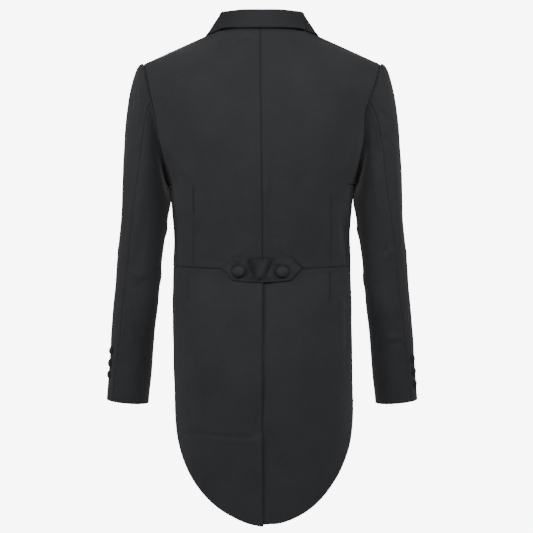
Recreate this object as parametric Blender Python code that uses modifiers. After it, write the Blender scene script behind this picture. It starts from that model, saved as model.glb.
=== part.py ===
"""White tie tailcoat in its worn, hollow form.

Metres, +Z up. The back of the coat faces +Y and the wearer's left side is at +X. The origin is the
middle of the neck, level with the shoulders, where the wearer carries the coat. Every panel is a sheet
through sections of one body form, thickened outwards, so the tables give the outside of the cloth.
"""
import math
from collections import namedtuple

import bpy
from mathutils import Vector

COLLECTION = "white_tie_tailcoat"
LEFT = 1
RIGHT = -1
SIDES = (("left", LEFT), ("right", RIGHT))

# Cloth walls and the gaps between pieces
CLOTH = 0.0016
COLLAR_CLOTH = 0.0022
LAPEL_CLOTH = 0.0018
SEAM_GAP = 0.0003
WAIST_GAP = 0.0009
ARMHOLE_GAP = 0.0004
LAY_GAP = 0.0008
TAB_GAP = 0.0012
COLLAR_GAP = 0.0018
LEAF_GAP = 0.0015

# Levels and points that carry the pattern
WAIST = -0.448
UNDERARM = -0.285
SIDE_Y = -0.004
NECK_CENTRE = Vector((0.0, 0.054, 0.011))
NECK_POINT = Vector((0.076, 0.002, 0.013))
SHOULDER_POINT = Vector((0.2265, -0.003, -0.0555))

# Armhole: an egg seen from the side, measured by a turn from 0 at the shoulder to 180 underarm
ARMHOLE_BACK = 0.057
ARMHOLE_FRONT = 0.060
YOKE_TURN = 64.6
UNDERARM_TURN = 180.0
WAIST_TURN = 270.0
ARMHOLE_MIDDLE = (SHOULDER_POINT.z + UNDERARM) / 2
ARMHOLE_HALF = (SHOULDER_POINT.z - UNDERARM) / 2

# Panels
NECK_SHARE = 0.28
SIDE_SEAM_WAIST_ANGLE = 70.0
SEAM_ANGLE = 0.10
BODY_CORE_SHARE = 0.35
BODY_CORE_DROP = 0.06
PROBE_SHARE = 0.01
PROBE_TURN = 1.0
WAIST_RISE = 0.006
FRONT_DIP = 0.022
FRONT_DIP_START = 0.70

# Tails
TAIL_FRONT_ANGLE = 128.0
TAIL_CORNER_ANGLE = 100.0
HEM_SIDE = -0.700
HEM_DROP = {LEFT: 0.2265, RIGHT: 0.2235}
HEM_POINT = 0.25
TAIL_SWAY = -0.0050
VENT_LAP_ANGLE = 14.0
VENT_STEP_START = -1.0
VENT_STEP_ANGLE = 9.0
VENT_STEP = 0.0030

# Sleeves
SLEEVE_CAP_PULL = 0.33
SLEEVE_HANG_PULL = 1.05
FOREARM_SEAM_TURN = 218.0
SLEEVE_SEAM_TURN = 0.22
ARM_SLANT = 0.085
ARM_PITCH = 0.06
OVAL_POWER = 2.15

# How a sleeve leaves the armhole: outwards and down at its top, straight down under the arm
LEAVE_OUT = 0.65
LEAVE_OUT_SWING = 0.35
LEAVE_BACK = 0.30
LEAVE_DOWN = 0.55
LEAVE_DOWN_SWING = 0.45

# Collar
COLLAR_NECK_PLACE = 0.55
FOLD_RADIUS = 0.0014
GORGE_RISE = 0.85
GORGE_TURN_IN = 0.50
LEAF_LEAVE_FLARE = 0.35
LEAF_PULL = 0.90
LEAF_SHARES = (0.3, 0.65, 1.0)

# Lapels
LAPEL_BREAK_TURN = 243.0
LAPEL_GORGE_TURN = 32.0
LAPEL_PEAK_TURN = 28.0
LAPEL_ROLL_TOP_TURN = 32.6
LAPEL_NOTCH_DIP = 11.0
LAPEL_NOTCH_PLACE = 0.50
LAPEL_NOTCH_FADE = 6
LAPEL_TOP_CROWDING = 1.6
LAPEL_ROLL = 0.0025
LAPEL_ROLL_SPREAD = 1.6
LAPEL_ROLL_START = 4.0

# Half belt
TAB_HALF_LENGTH = 0.0735
TAB_CORNER = 0.0550
TAB_HALF_HEIGHT = 0.0210
TAB_TIP_HALF_HEIGHT = 0.0012
TAB_LEVEL = -0.4465
TAB_SAG = 0.0045
TAB_BULGE = 0.0042
TAB_GATHER_LEFT = 0.0290
TAB_GATHER_RIGHT = -0.0240
TAB_GATHER_FADE = 0.009

# Buttons
CUFF_BUTTON_RADIUS = 0.0075
CUFF_BUTTON_HEIGHT = 0.0048
TAB_BUTTON_RADIUS = 0.0130
TAB_BUTTON_HEIGHT = 0.0072
TAB_BUTTON_SEAT = 0.0009
TAB_BUTTON_DROP = -0.0035
TAB_BUTTON_PROBE = 0.006
BUTTON_STEPS = 14

# Body sections: half width at the sides, then depth to the back and to the front of the side line
Ring = namedtuple("Ring", "height half_width back front power")
RINGS = (
    Ring(-0.940, 0.1700, 0.1230, 0.1200, 2.30),
    Ring(-0.800, 0.1712, 0.1270, 0.1230, 2.30),
    Ring(-0.700, 0.1720, 0.1290, 0.1250, 2.30),
    Ring(-0.610, 0.1720, 0.1270, 0.1250, 2.30),
    Ring(-0.530, 0.1708, 0.1160, 0.1220, 2.32),
    Ring(-0.448, 0.1700, 0.0970, 0.1170, 2.35),
    Ring(-0.390, 0.1690, 0.1020, 0.1240, 2.35),
    Ring(-0.330, 0.1730, 0.1120, 0.1310, 2.38),
    Ring(-0.285, 0.1780, 0.1180, 0.1350, 2.40),
    Ring(-0.240, 0.1950, 0.1215, 0.1370, 2.40),
    Ring(-0.200, 0.2095, 0.1230, 0.1350, 2.40),
    Ring(-0.160, 0.2180, 0.1225, 0.1270, 2.40),
    Ring(-0.120, 0.2250, 0.1180, 0.1130, 2.40),
)

# Half of the opening between the fronts, by height
FrontEdge = namedtuple("FrontEdge", "height opening")
FRONT_EDGE = (
    FrontEdge(-0.448, 0.078),
    FrontEdge(-0.400, 0.066),
    FrontEdge(-0.330, 0.058),
    FrontEdge(-0.240, 0.055),
    FrontEdge(-0.180, 0.056),
    FrontEdge(-0.120, 0.060),
)

# The way the cloth runs where a panel arrives at the neck and shoulder seams
Heading = namedtuple("Heading", "share across ahead up")
BACK_HEADINGS = (
    Heading(0.00, 0.00, -0.40, 0.92),
    Heading(0.28, -0.15, -0.80, 0.58),
    Heading(0.60, 0.00, -0.96, 0.28),
    Heading(1.00, 0.05, -0.99, 0.12),
)
FRONT_HEADINGS = (
    Heading(0.00, 0.05, 0.99, 0.12),
    Heading(0.60, 0.00, 0.94, 0.30),
    Heading(1.00, 0.12, 0.75, 0.65),
)

# Sleeve ovals below the underarm
Oval = namedtuple("Oval", "height centre_x centre_y half_width half_depth")
OVALS = (
    Oval(-0.702, 0.2587, -0.035, 0.0412, 0.0480),
    Oval(-0.637, 0.2541, -0.027, 0.0416, 0.0500),
    Oval(-0.576, 0.2491, -0.020, 0.0413, 0.0525),
    Oval(-0.515, 0.2432, -0.013, 0.0422, 0.0555),
    Oval(-0.453, 0.2377, -0.008, 0.0425, 0.0580),
    Oval(-0.392, 0.2318, -0.004, 0.0437, 0.0610),
    Oval(-0.338, 0.2260, -0.002, 0.0462, 0.0640),
)

# Hindarm seam: station 0 is the armhole, 1 the first oval, 2 the cuff
Hindarm = namedtuple("Hindarm", "station turn")
HINDARM = (
    Hindarm(0.0, 70.0),
    Hindarm(0.6, 75.0),
    Hindarm(1.0, 70.0),
    Hindarm(1.5, 63.0),
    Hindarm(2.0, 54.0),
)

# Collar: height of the stand, its lean, the flare of the leaf and how far the leaf lies on the front
Stand = namedtuple("Stand", "place height lean flare lie")
STANDS = (
    Stand(0.00, 0.0290, 0.22, 0.30, 0.0),
    Stand(0.30, 0.0288, 0.18, 0.45, 0.0),
    Stand(0.55, 0.0275, 0.12, 0.85, 0.0),
    Stand(0.75, 0.0170, 0.12, 0.80, 0.35),
    Stand(0.90, 0.0075, 0.12, 0.60, 0.85),
    Stand(1.00, 0.0035, 0.12, 0.50, 1.0),
)

# Lower edge of the collar leaf, as places on the back and front panels
LeafEdge = namedtuple("LeafEdge", "place share turn")
LEAF_EDGE_BACK = (
    LeafEdge(0.00, 0.000, 2.0),
    LeafEdge(0.20, 0.140, 2.3),
    LeafEdge(0.40, 0.290, 3.0),
    LeafEdge(0.50, 0.380, 2.6),
    LeafEdge(0.55, 0.427, 0.0),
)
LEAF_EDGE_FRONT = (
    LeafEdge(0.55, 0.796, 0.0),
    LeafEdge(0.70, 0.765, 10.0),
    LeafEdge(0.85, 0.725, 25.0),
    LeafEdge(1.00, 0.700, 39.5),
)

# Lapel width across the front, from the break up to the peak
LapelWidth = namedtuple("LapelWidth", "height width")
LAPEL_WIDTHS = (
    LapelWidth(-0.400, 0.004),
    LapelWidth(-0.330, 0.034),
    LapelWidth(-0.260, 0.061),
    LapelWidth(-0.190, 0.082),
    LapelWidth(-0.130, 0.095),
    LapelWidth(-0.080, 0.100),
    LapelWidth(-0.050, 0.098),
)

# Gathers in the half belt: where each ridge or trough stands at its top and bottom edge
Gather = namedtuple("Gather", "top_x bottom_x width height")
GATHERS = (
    Gather(0.0300, 0.0110, 0.0055, -0.0034),
    Gather(0.0120, 0.0250, 0.0060, 0.0016),
    Gather(-0.0065, 0.0065, 0.0050, 0.0036),
    Gather(-0.0190, -0.0060, 0.0050, -0.0030),
    Gather(-0.0290, -0.0220, 0.0060, 0.0014),
)

# Buttons: the turn round the sleeve and the height of each; side places of the two on the half belt
CuffButton = namedtuple("CuffButton", "turn height")
CUFF_BUTTONS = {
    LEFT: (CuffButton(29.0, -0.606), CuffButton(28.0, -0.630), CuffButton(27.0, -0.652)),
    RIGHT: (CuffButton(34.0, -0.621), CuffButton(33.0, -0.645), CuffButton(32.0, -0.669)),
}
TAB_BUTTON_X = {LEFT: 0.0425, RIGHT: -0.0375}

# Half profile of a covered, domed button, from its crown down the side to the middle of its back
Profile = namedtuple("Profile", "out up")
BUTTON_PROFILE = (
    Profile(0.00, 1.00),
    Profile(0.45, 0.94),
    Profile(0.80, 0.70),
    Profile(0.98, 0.38),
    Profile(0.96, 0.12),
    Profile(0.80, 0.00),
    Profile(0.00, 0.00),
)

# Rows and columns of the cloth grids
BODY_ROWS = 7
BACK_COLUMNS = (4, 8)
FRONT_COLUMNS = (6, 3)
TAIL_COLUMNS = {LEFT: 13, RIGHT: 15}
TAIL_ROWS = 16
TAIL_CROWDING = 1.3
CAP_ROWS = 10
CAP_CROWDING = 1.25
ARM_ROWS = 9
TOP_SLEEVE_COLUMNS = 12
UNDER_SLEEVE_COLUMNS = 9
COLLAR_COLUMNS = (8, 6)
LAPEL_COLUMNS = 6
LAPEL_ROWS = 18
TAB_COLUMNS = (2, 18)
TAB_ROWS = 5

# Colours of the cloth and the covered buttons, linear
BLACK_WOOL = (0.030, 0.031, 0.034, 1.0)
COLLAR_FACING = (0.036, 0.037, 0.042, 1.0)
BUTTON_COVER = (0.024, 0.025, 0.028, 1.0)
WOOL_ROUGHNESS = 0.88
FACING_ROUGHNESS = 0.62
COVER_ROUGHNESS = 0.80

# A point inside each hollow, for turning the sheets outwards
TORSO_CORE = Vector((0, 0, -0.25))
SKIRT_CORE = Vector((0, 0, -0.70))
ARM_CORE = Vector((0.245, -0.01, -0.45))
LAPEL_CORE = Vector((0.1, 0, -0.25))
TAB_CORE = Vector((0, 0, TAB_LEVEL))
# The stand at the middle of the back faces the neck, away from a point behind it
COLLAR_CORE = NECK_CENTRE + Vector((0, 0.05, 0.02))


def smooth_value(table, field, place):
    """One column of a table at any place along its first column, on a smooth curve."""
    rows = sorted(table)
    places = [row[0] for row in rows]
    values = [getattr(row, field) for row in rows]
    if place <= places[0]:
        return values[0]
    if place >= places[-1]:
        return values[-1]
    slopes = []
    for index in range(len(rows)):
        before = max(index - 1, 0)
        after = min(index + 1, len(rows) - 1)
        slopes.append((values[after] - values[before]) / (places[after] - places[before]))
    low = max(index for index in range(len(rows) - 1) if places[index] <= place)
    step = places[low + 1] - places[low]
    share = (place - places[low]) / step
    return hermite(
        values[low], slopes[low] * step, values[low + 1], slopes[low + 1] * step, share
    )


def hermite(start, start_slope, end, end_slope, share):
    """Cubic curve between two values or points with given slopes."""
    square = share * share
    cube = square * share
    return (
        start * (2 * cube - 3 * square + 1)
        + start_slope * (cube - 2 * square + share)
        + end * (3 * square - 2 * cube)
        + end_slope * (cube - square)
    )


def mix(start, end, share):
    return start + (end - start) * share


def ease(share):
    """0 to 1 with level ends."""
    share = min(max(share, 0.0), 1.0)
    return share * share * (3 - 2 * share)


def steps(start, end, count):
    """Evenly spaced values, both ends included."""
    return [mix(start, end, index / count) for index in range(count + 1)]


def run_between(start, start_way, end, end_way, share, start_pull=1.0, end_pull=1.0):
    """Point on a smooth run of cloth from start to end that leaves and arrives along two ways."""
    reach = (end - start).length
    return hermite(
        start,
        start_way.normalized() * reach * start_pull,
        end,
        end_way.normalized() * reach * end_pull,
        share,
    )


def heading(table, share, side):
    """Way of the cloth at a place along a top seam."""
    across = smooth_value(table, "across", share)
    ahead = smooth_value(table, "ahead", share)
    up = smooth_value(table, "up", share)
    return Vector((side * across, ahead, up))


# Body form


def ring_point(height, angle, side, inset=CLOTH):
    """Point of the cloth's inner face on one level; 0 is the middle of the back, 180 the front."""
    power = 2 / smooth_value(RINGS, "power", height)
    depth_field = "back" if abs(angle) <= 90 else "front"
    half_width = smooth_value(RINGS, "half_width", height) - inset
    depth = smooth_value(RINGS, depth_field, height) - inset
    sine = math.sin(math.radians(angle))
    cosine = math.cos(math.radians(angle))
    across = math.copysign(abs(sine) ** power, sine) * half_width
    along = math.copysign(abs(cosine) ** power, cosine) * depth
    return Vector((side * across, SIDE_Y + along, height))


def side_seam_angle(height):
    """The side seam runs from the underarm towards the back, and straight down below the waist."""
    share = ease((height - WAIST) / (UNDERARM - WAIST))
    return mix(SIDE_SEAM_WAIST_ANGLE, 90.0, share)


def front_edge_angle(height):
    power = smooth_value(RINGS, "power", height)
    half_width = smooth_value(RINGS, "half_width", height) - CLOTH
    opening = smooth_value(FRONT_EDGE, "opening", height)
    return 180.0 - math.degrees(math.asin((opening / half_width) ** (power / 2)))


def panel_height(turn):
    """Height of a body row: the armhole's own height above the underarm, then down to the waist."""
    if turn <= UNDERARM_TURN:
        return ARMHOLE_MIDDLE + ARMHOLE_HALF * math.cos(math.radians(turn))
    below = (turn - UNDERARM_TURN) / (WAIST_TURN - UNDERARM_TURN)
    return mix(UNDERARM, WAIST + WAIST_GAP / 2, below)


def outer_edge_angle(turn, depth_field, reach):
    """Angle on the body section where a panel ends, at the side seam or the armhole."""
    height = panel_height(turn)
    if turn >= UNDERARM_TURN:
        return side_seam_angle(height)
    depth = smooth_value(RINGS, depth_field, height) - CLOTH
    power = smooth_value(RINGS, "power", height)
    share = max(reach * math.sin(math.radians(turn)) / depth, 0.0)
    return math.degrees(math.acos(share ** (power / 2)))


def waist_lift(angle, turn):
    """The waist seam rises a little towards the sides."""
    below = ease((turn - UNDERARM_TURN) / (WAIST_TURN - UNDERARM_TURN))
    return Vector((0, 0, WAIST_RISE * math.sin(math.radians(angle)) ** 2 * below))


# Back panels


def back_top(share, side):
    """Back neck curve, then the shoulder seam."""
    if share <= NECK_SHARE:
        quarter = math.radians(90 * share / NECK_SHARE)
        point = Vector((
            NECK_POINT.x * math.sin(quarter),
            mix(NECK_POINT.y, NECK_CENTRE.y, math.cos(quarter)),
            mix(NECK_POINT.z, NECK_CENTRE.z, math.cos(quarter)),
        ))
    else:
        point = NECK_POINT.lerp(SHOULDER_POINT, (share - NECK_SHARE) / (1 - NECK_SHARE))
    return Vector((side * point.x, point.y + SEAM_GAP / 2, point.z))


def back_on_ring(share, turn, side):
    edge = outer_edge_angle(turn, "back", ARMHOLE_BACK) - SEAM_ANGLE
    angle = share * edge
    return ring_point(panel_height(turn), angle, side) + waist_lift(angle, turn)


def back_point(share, turn, side):
    """Inner face of a back panel: share 0 is the centre seam, turn 270 the waist, 0 the top."""
    if turn >= YOKE_TURN:
        point = back_on_ring(share, turn, side)
    else:
        low = back_on_ring(share, YOKE_TURN, side)
        low_way = low - back_on_ring(share, YOKE_TURN + 2, side)
        top_way = heading(BACK_HEADINGS, share, side)
        point = run_between(low, low_way, back_top(share, side), top_way, 1 - turn / YOKE_TURN)
    return point + Vector((side * SEAM_GAP / 2, 0, 0))


# Front panels


def front_top(share, side):
    """Shoulder seam, from the shoulder point to the neck point."""
    point = SHOULDER_POINT.lerp(NECK_POINT, share)
    return Vector((side * point.x, point.y - SEAM_GAP / 2, point.z))


def front_on_ring(share, turn, side):
    height = panel_height(turn)
    edge = outer_edge_angle(turn, "front", ARMHOLE_FRONT)
    if turn < UNDERARM_TURN:
        edge = 180.0 - edge
    edge += SEAM_ANGLE
    angle = mix(edge, front_edge_angle(height), share)
    below = ease((turn - UNDERARM_TURN) / (WAIST_TURN - UNDERARM_TURN))
    dip = FRONT_DIP * below * ease((share - FRONT_DIP_START) / (1 - FRONT_DIP_START))
    return ring_point(height, angle, side) + waist_lift(angle, turn) - Vector((0, 0, dip))


def front_point(share, turn, side):
    """Inner face of a front: share 0 is the side seam or armhole, 1 the open front edge."""
    if turn >= YOKE_TURN:
        return front_on_ring(share, turn, side)
    low = front_on_ring(share, YOKE_TURN, side)
    low_way = low - front_on_ring(share, YOKE_TURN + 2, side)
    top_way = heading(FRONT_HEADINGS, share, side)
    return run_between(low, low_way, front_top(share, side), top_way, 1 - turn / YOKE_TURN)


def panel_frame(panel, share, turn, side):
    """Inner point, outward normal and the ways across and down a panel at one place."""
    point = panel(share, turn, side)
    near = max(share - PROBE_SHARE, 0.0)
    far = min(share + PROBE_SHARE, 1.0)
    across = (panel(far, turn, side) - panel(near, turn, side)).normalized()
    above = max(turn - PROBE_TURN, 0.0)
    below = min(turn + PROBE_TURN, WAIST_TURN)
    down = (panel(share, below, side) - panel(share, above, side)).normalized()
    normal = across.cross(down).normalized()
    core = Vector((BODY_CORE_SHARE * point.x, 0.0, point.z - BODY_CORE_DROP))
    if normal.dot(point - core) < 0:
        normal = -normal
    return point, normal, across, down


def panel_outside(panel, share, turn, side, clear):
    """Point this far clear of the outside of a panel."""
    point, normal, _, _ = panel_frame(panel, share, turn, side)
    return point + normal * (CLOTH + clear)


# Tails


def hem_height(angle, side):
    share = abs(angle) / 90
    rise = HEM_POINT * share + (1 - HEM_POINT) * share * share
    return HEM_SIDE - HEM_DROP[side] * (1 - rise)


def tail_place(share, drop, start_angle, side):
    """Angle and height at a share across and a drop from the waist seam to the hem."""
    last_angle = mix(TAIL_FRONT_ANGLE, TAIL_CORNER_ANGLE, drop * drop)
    angle = mix(start_angle, last_angle, share)
    hem = hem_height(mix(start_angle, TAIL_CORNER_ANGLE, share), side)
    height = mix(WAIST - WAIST_GAP / 2, hem, drop)
    return angle, height


def tail_point(share, drop, side):
    """Inner face of a tail: the right one steps inwards and runs on under the left one."""
    start_angle = 0.0 if side == LEFT else -VENT_LAP_ANGLE
    angle, height = tail_place(share, drop, start_angle, side)
    inset = CLOTH
    if side == RIGHT:
        inset += VENT_STEP * (1 - ease((angle - VENT_STEP_START) / VENT_STEP_ANGLE))
    lift = WAIST_RISE * math.sin(math.radians(angle)) ** 2 * (1 - drop) ** 2
    sway = TAIL_SWAY * drop * drop
    return ring_point(height, angle, side, inset) + Vector((sway, 0, lift))


# Sleeves


def armhole_start(turn, side):
    """Start of the sleeve, just clear of the armhole edge, and the way it leaves."""
    panel, share = (back_point, 1.0) if turn <= 180 else (front_point, 0.0)
    panel_turn = turn if turn <= 180 else 360 - turn
    point, normal, _, _ = panel_frame(panel, share, panel_turn, side)
    cosine = math.cos(math.radians(turn))
    sine = math.sin(math.radians(turn))
    out = LEAVE_OUT + LEAVE_OUT_SWING * cosine
    drop = LEAVE_DOWN - LEAVE_DOWN_SWING * cosine
    way = Vector((side * out, LEAVE_BACK * sine, -drop)).normalized()
    fold_back = max(0.0, -cosine)
    clear = CLOTH + ARMHOLE_GAP + CLOTH * fold_back
    return point + normal * clear + way * ARMHOLE_GAP, way


def oval_point(turn, height, side):
    """Inner face of the hanging sleeve, on a section square to the arm."""
    centre_x = smooth_value(OVALS, "centre_x", height)
    centre_y = smooth_value(OVALS, "centre_y", height)
    half_width = smooth_value(OVALS, "half_width", height) - CLOTH
    half_depth = smooth_value(OVALS, "half_depth", height) - CLOTH
    cosine = math.cos(math.radians(turn))
    sine = math.sin(math.radians(turn))
    out = math.copysign(abs(cosine) ** (2 / OVAL_POWER), cosine) * half_width
    back = math.copysign(abs(sine) ** (2 / OVAL_POWER), sine) * half_depth
    pitch = ARM_PITCH * (OVALS[-1].height - height) / (OVALS[-1].height - OVALS[0].height)
    rise = out * ARM_SLANT - back * pitch
    return Vector((side * (centre_x + out), centre_y + back, height + rise))


def sleeve_point(turn, station, side):
    """Inner face of a sleeve: station 0 is the armhole, 1 the first oval and 2 the cuff."""
    top = OVALS[-1].height
    if station >= 1:
        return oval_point(turn, mix(top, OVALS[0].height, station - 1), side)
    start, way = armhole_start(turn % 360, side)
    end = oval_point(turn, top, side)
    end_way = oval_point(turn, top - 0.004, side) - end
    return run_between(start, way, end, end_way, station, SLEEVE_CAP_PULL, SLEEVE_HANG_PULL)


def sleeve_outside(turn, station, side, clear):
    """Point clear of the outside of a sleeve, and the outward normal there."""
    point = sleeve_point(turn, station, side)
    round_way = sleeve_point(turn + 2, station, side) - sleeve_point(turn - 2, station, side)
    down_way = sleeve_point(turn, station + 0.02, side) - point
    normal = round_way.cross(down_way).normalized()
    axis = Vector((side * smooth_value(OVALS, "centre_x", point.z),
                   smooth_value(OVALS, "centre_y", point.z), point.z))
    if normal.dot(point - axis) < 0:
        normal = -normal
    return point + normal * (CLOTH + clear), normal


# Half belt


def tab_relief(x, height_share):
    """How far the half belt stands off the back: a soft bulge with gathers between its buttons."""
    inside = ease((TAB_GATHER_LEFT - x) / TAB_GATHER_FADE) * ease((x - TAB_GATHER_RIGHT) / TAB_GATHER_FADE)
    relief = TAB_BULGE * inside
    for gather in GATHERS:
        centre = mix(gather.bottom_x, gather.top_x, (height_share + 1) / 2)
        relief += inside * gather.height * math.exp(-(((x - centre) / gather.width) ** 2))
    return max(relief, 0.0)


def tab_half_height(x):
    beyond = max(abs(x) - TAB_CORNER, 0.0) / (TAB_HALF_LENGTH - TAB_CORNER)
    return mix(TAB_HALF_HEIGHT, TAB_TIP_HALF_HEIGHT, beyond)


def tab_point(x, height_share, clear=0.0):
    """Inner face of the half belt, made from the body form and moved out."""
    sag = TAB_SAG * (1 - (min(abs(x), TAB_CORNER) / TAB_CORNER) ** 2)
    height = TAB_LEVEL - sag + height_share * tab_half_height(x)
    power = smooth_value(RINGS, "power", height)
    half_width = smooth_value(RINGS, "half_width", height)
    angle = math.copysign(math.degrees(math.asin((abs(x) / half_width) ** (power / 2))), x)
    return ring_point(height, angle, LEFT, -(TAB_GAP + tab_relief(x, height_share) + clear))


# Collar


def neck_edge(place, side):
    """Edge of the panels that carries the collar: base point, outward normal, way along the panel."""
    if place <= COLLAR_NECK_PLACE:
        share = NECK_SHARE * place / COLLAR_NECK_PLACE
        point, normal, _, down = panel_frame(back_point, share, 0.0, side)
        return point, normal, down
    turn = LAPEL_GORGE_TURN * (place - COLLAR_NECK_PLACE) / (1 - COLLAR_NECK_PLACE)
    point, normal, across, _ = panel_frame(front_point, 1.0, turn, side)
    return point, normal, -across


def leaf_edge(place, side):
    """Where the lower edge of the leaf rests on the panels."""
    if place <= COLLAR_NECK_PLACE:
        panel, table = back_point, LEAF_EDGE_BACK
    else:
        panel, table = front_point, LEAF_EDGE_FRONT
    share = smooth_value(table, "share", place)
    turn = smooth_value(table, "turn", place)
    return panel_outside(panel, share, turn, side, LEAF_GAP)


def leaf_on_front(place, share, side):
    """Point of the leaf where it lies on the front."""
    edge_turn = LAPEL_GORGE_TURN * (place - COLLAR_NECK_PLACE) / (1 - COLLAR_NECK_PLACE)
    end_share = smooth_value(LEAF_EDGE_FRONT, "share", place)
    end_turn = smooth_value(LEAF_EDGE_FRONT, "turn", place)
    lift = LEAF_GAP + LAPEL_ROLL * math.sin(math.pi * share)
    return panel_outside(
        front_point, mix(1.0, end_share, share), mix(edge_turn, end_turn, share), side, lift
    )


def collar_row(place, side):
    """Sheet line across the collar: up the stand, over the fold and down the leaf."""
    base, normal, down = neck_edge(place, side)
    stand = smooth_value(STANDS, "height", place)
    lean = smooth_value(STANDS, "lean", place)
    flare = smooth_value(STANDS, "flare", place)
    lie = ease(smooth_value(STANDS, "lie", place))
    quarter = math.radians(90 * min(place / COLLAR_NECK_PLACE, 1.0))
    out = Vector((side * math.sin(quarter), math.cos(quarter), 0.0)).lerp(down, lie).normalized()
    lying_up = normal * GORGE_RISE - down * GORGE_TURN_IN
    up = (Vector((0, 0, 1)) - out * lean).lerp(lying_up, lie).normalized()
    foot = base + normal * CLOTH + up * COLLAR_GAP
    top = foot + up * stand
    fold_centre = top + out * FOLD_RADIUS
    turn_down = fold_centre + out * FOLD_RADIUS
    row = [foot, foot.lerp(top, 0.5), top, fold_centre + up * FOLD_RADIUS, turn_down]
    edge = leaf_edge(place, side)
    leave = -up + out * (LEAF_LEAVE_FLARE * flare)
    arrive = -up + out * flare
    for share in LEAF_SHARES:
        free = run_between(turn_down, leave, edge, arrive, share, LEAF_PULL, LEAF_PULL)
        if lie > 0:
            free = free.lerp(leaf_on_front(place, share, side), lie)
        row.append(free)
    return row


# Lapels


def lapel_point(share, rise, side):
    """Inner face of a lapel: share 0 is the roll line, rise 0 the break and 1 the gorge."""
    roll_turn = mix(LAPEL_BREAK_TURN, LAPEL_ROLL_TOP_TURN, rise)
    edge_turn = mix(LAPEL_BREAK_TURN, LAPEL_PEAK_TURN, rise)
    roll_line = front_point(1.0, roll_turn, side)
    front_width = (front_point(0.5, roll_turn, side) - roll_line).length * 2
    width = smooth_value(LAPEL_WIDTHS, "width", roll_line.z)
    panel_share = 1.0 - share * width / front_width
    notch = LAPEL_NOTCH_DIP * max(0.0, 1 - abs(share - LAPEL_NOTCH_PLACE) / LAPEL_NOTCH_PLACE)
    turn = mix(roll_turn, edge_turn, share) + notch * rise ** LAPEL_NOTCH_FADE
    swell = math.sin(math.pi * min(share * LAPEL_ROLL_SPREAD, 1.0))
    roll = LAPEL_ROLL * swell * min(1.0, LAPEL_ROLL_START * rise)
    return panel_outside(front_point, panel_share, turn, side, LAY_GAP + roll)


# Objects


def cloth_material(name, colour, roughness):
    material = bpy.data.materials.new(name)
    material.use_nodes = True
    shader = material.node_tree.nodes["Principled BSDF"]
    shader.inputs["Base Color"].default_value = colour
    shader.inputs["Roughness"].default_value = roughness
    shader.inputs["Metallic"].default_value = 0.0
    material.diffuse_color = colour
    return material


def place_object(name, mesh, collection, colour, roughness):
    obj = bpy.data.objects.new(name, mesh)
    mesh.materials.append(cloth_material(name + "_cloth", colour, roughness))
    collection.objects.link(obj)
    return obj


def cloth_sheet(name, rows, core, thickness, collection, colour=BLACK_WOOL, roughness=WOOL_ROUGHNESS):
    """Open sheet lofted through rows of points, thickened away from the point called core."""
    columns = len(rows[0])
    points = [point for row in rows for point in row]
    faces = []
    for row in range(len(rows) - 1):
        for column in range(columns - 1):
            first = row * columns + column
            faces.append((first, first + 1, first + columns + 1, first + columns))
    mesh = bpy.data.meshes.new(name)
    mesh.from_pydata(points, [], faces)
    middle = mesh.polygons[len(faces) // 2]
    if middle.normal.dot(middle.center - core) < 0:
        mesh.flip_normals()
    mesh.shade_smooth()
    obj = place_object(name, mesh, collection, colour, roughness)
    wall = obj.modifiers.new("cloth_wall", "SOLIDIFY")
    wall.thickness = thickness
    wall.offset = 1.0
    wall.use_even_offset = True
    wall.use_quality_normals = True
    return obj


def body_turns():
    """Rows of a body panel, from the waist up to the top seam."""
    below = steps(WAIST_TURN, UNDERARM_TURN, BODY_ROWS)
    beside = steps(UNDERARM_TURN, YOKE_TURN, BODY_ROWS)[1:]
    above = steps(YOKE_TURN, 0.0, BODY_ROWS)[1:]
    return below + beside + above


def make_backs(collection):
    shares = steps(0.0, NECK_SHARE, BACK_COLUMNS[0]) + steps(NECK_SHARE, 1.0, BACK_COLUMNS[1])[1:]
    for word, side in SIDES:
        rows = [[back_point(share, turn, side) for share in shares] for turn in body_turns()]
        cloth_sheet("back_" + word, rows, TORSO_CORE, CLOTH, collection)


def make_fronts(collection):
    shares = steps(0.0, FRONT_DIP_START, FRONT_COLUMNS[0])
    shares += steps(FRONT_DIP_START, 1.0, FRONT_COLUMNS[1])[1:]
    for word, side in SIDES:
        rows = [[front_point(share, turn, side) for share in shares] for turn in body_turns()]
        cloth_sheet("front_" + word, rows, TORSO_CORE, CLOTH, collection)


def make_tails(collection):
    for word, side in SIDES:
        shares = steps(0.0, 1.0, TAIL_COLUMNS[side])
        drops = [share ** TAIL_CROWDING for share in steps(0.0, 1.0, TAIL_ROWS)]
        rows = [[tail_point(share, drop, side) for share in shares] for drop in drops]
        cloth_sheet("tail_" + word, rows, SKIRT_CORE, CLOTH, collection)


def make_sleeves(collection):
    stations = [share ** CAP_CROWDING for share in steps(0.0, 1.0, CAP_ROWS)]
    stations += steps(1.0, 2.0, ARM_ROWS)[1:]
    for word, side in SIDES:
        core = Vector((side * ARM_CORE.x, ARM_CORE.y, ARM_CORE.z))
        top_rows = []
        under_rows = []
        for station in stations:
            hindarm = smooth_value(HINDARM, "turn", station)
            forearm = FOREARM_SEAM_TURN - 360 + SLEEVE_SEAM_TURN
            top_turns = steps(forearm, hindarm - SLEEVE_SEAM_TURN, TOP_SLEEVE_COLUMNS)
            under_end = FOREARM_SEAM_TURN - SLEEVE_SEAM_TURN
            under_turns = steps(hindarm + SLEEVE_SEAM_TURN, under_end, UNDER_SLEEVE_COLUMNS)
            top_rows.append([sleeve_point(turn, station, side) for turn in top_turns])
            under_rows.append([sleeve_point(turn, station, side) for turn in under_turns])
        cloth_sheet("sleeve_top_" + word, top_rows, core, CLOTH, collection)
        cloth_sheet("sleeve_under_" + word, under_rows, core, CLOTH, collection)


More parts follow.
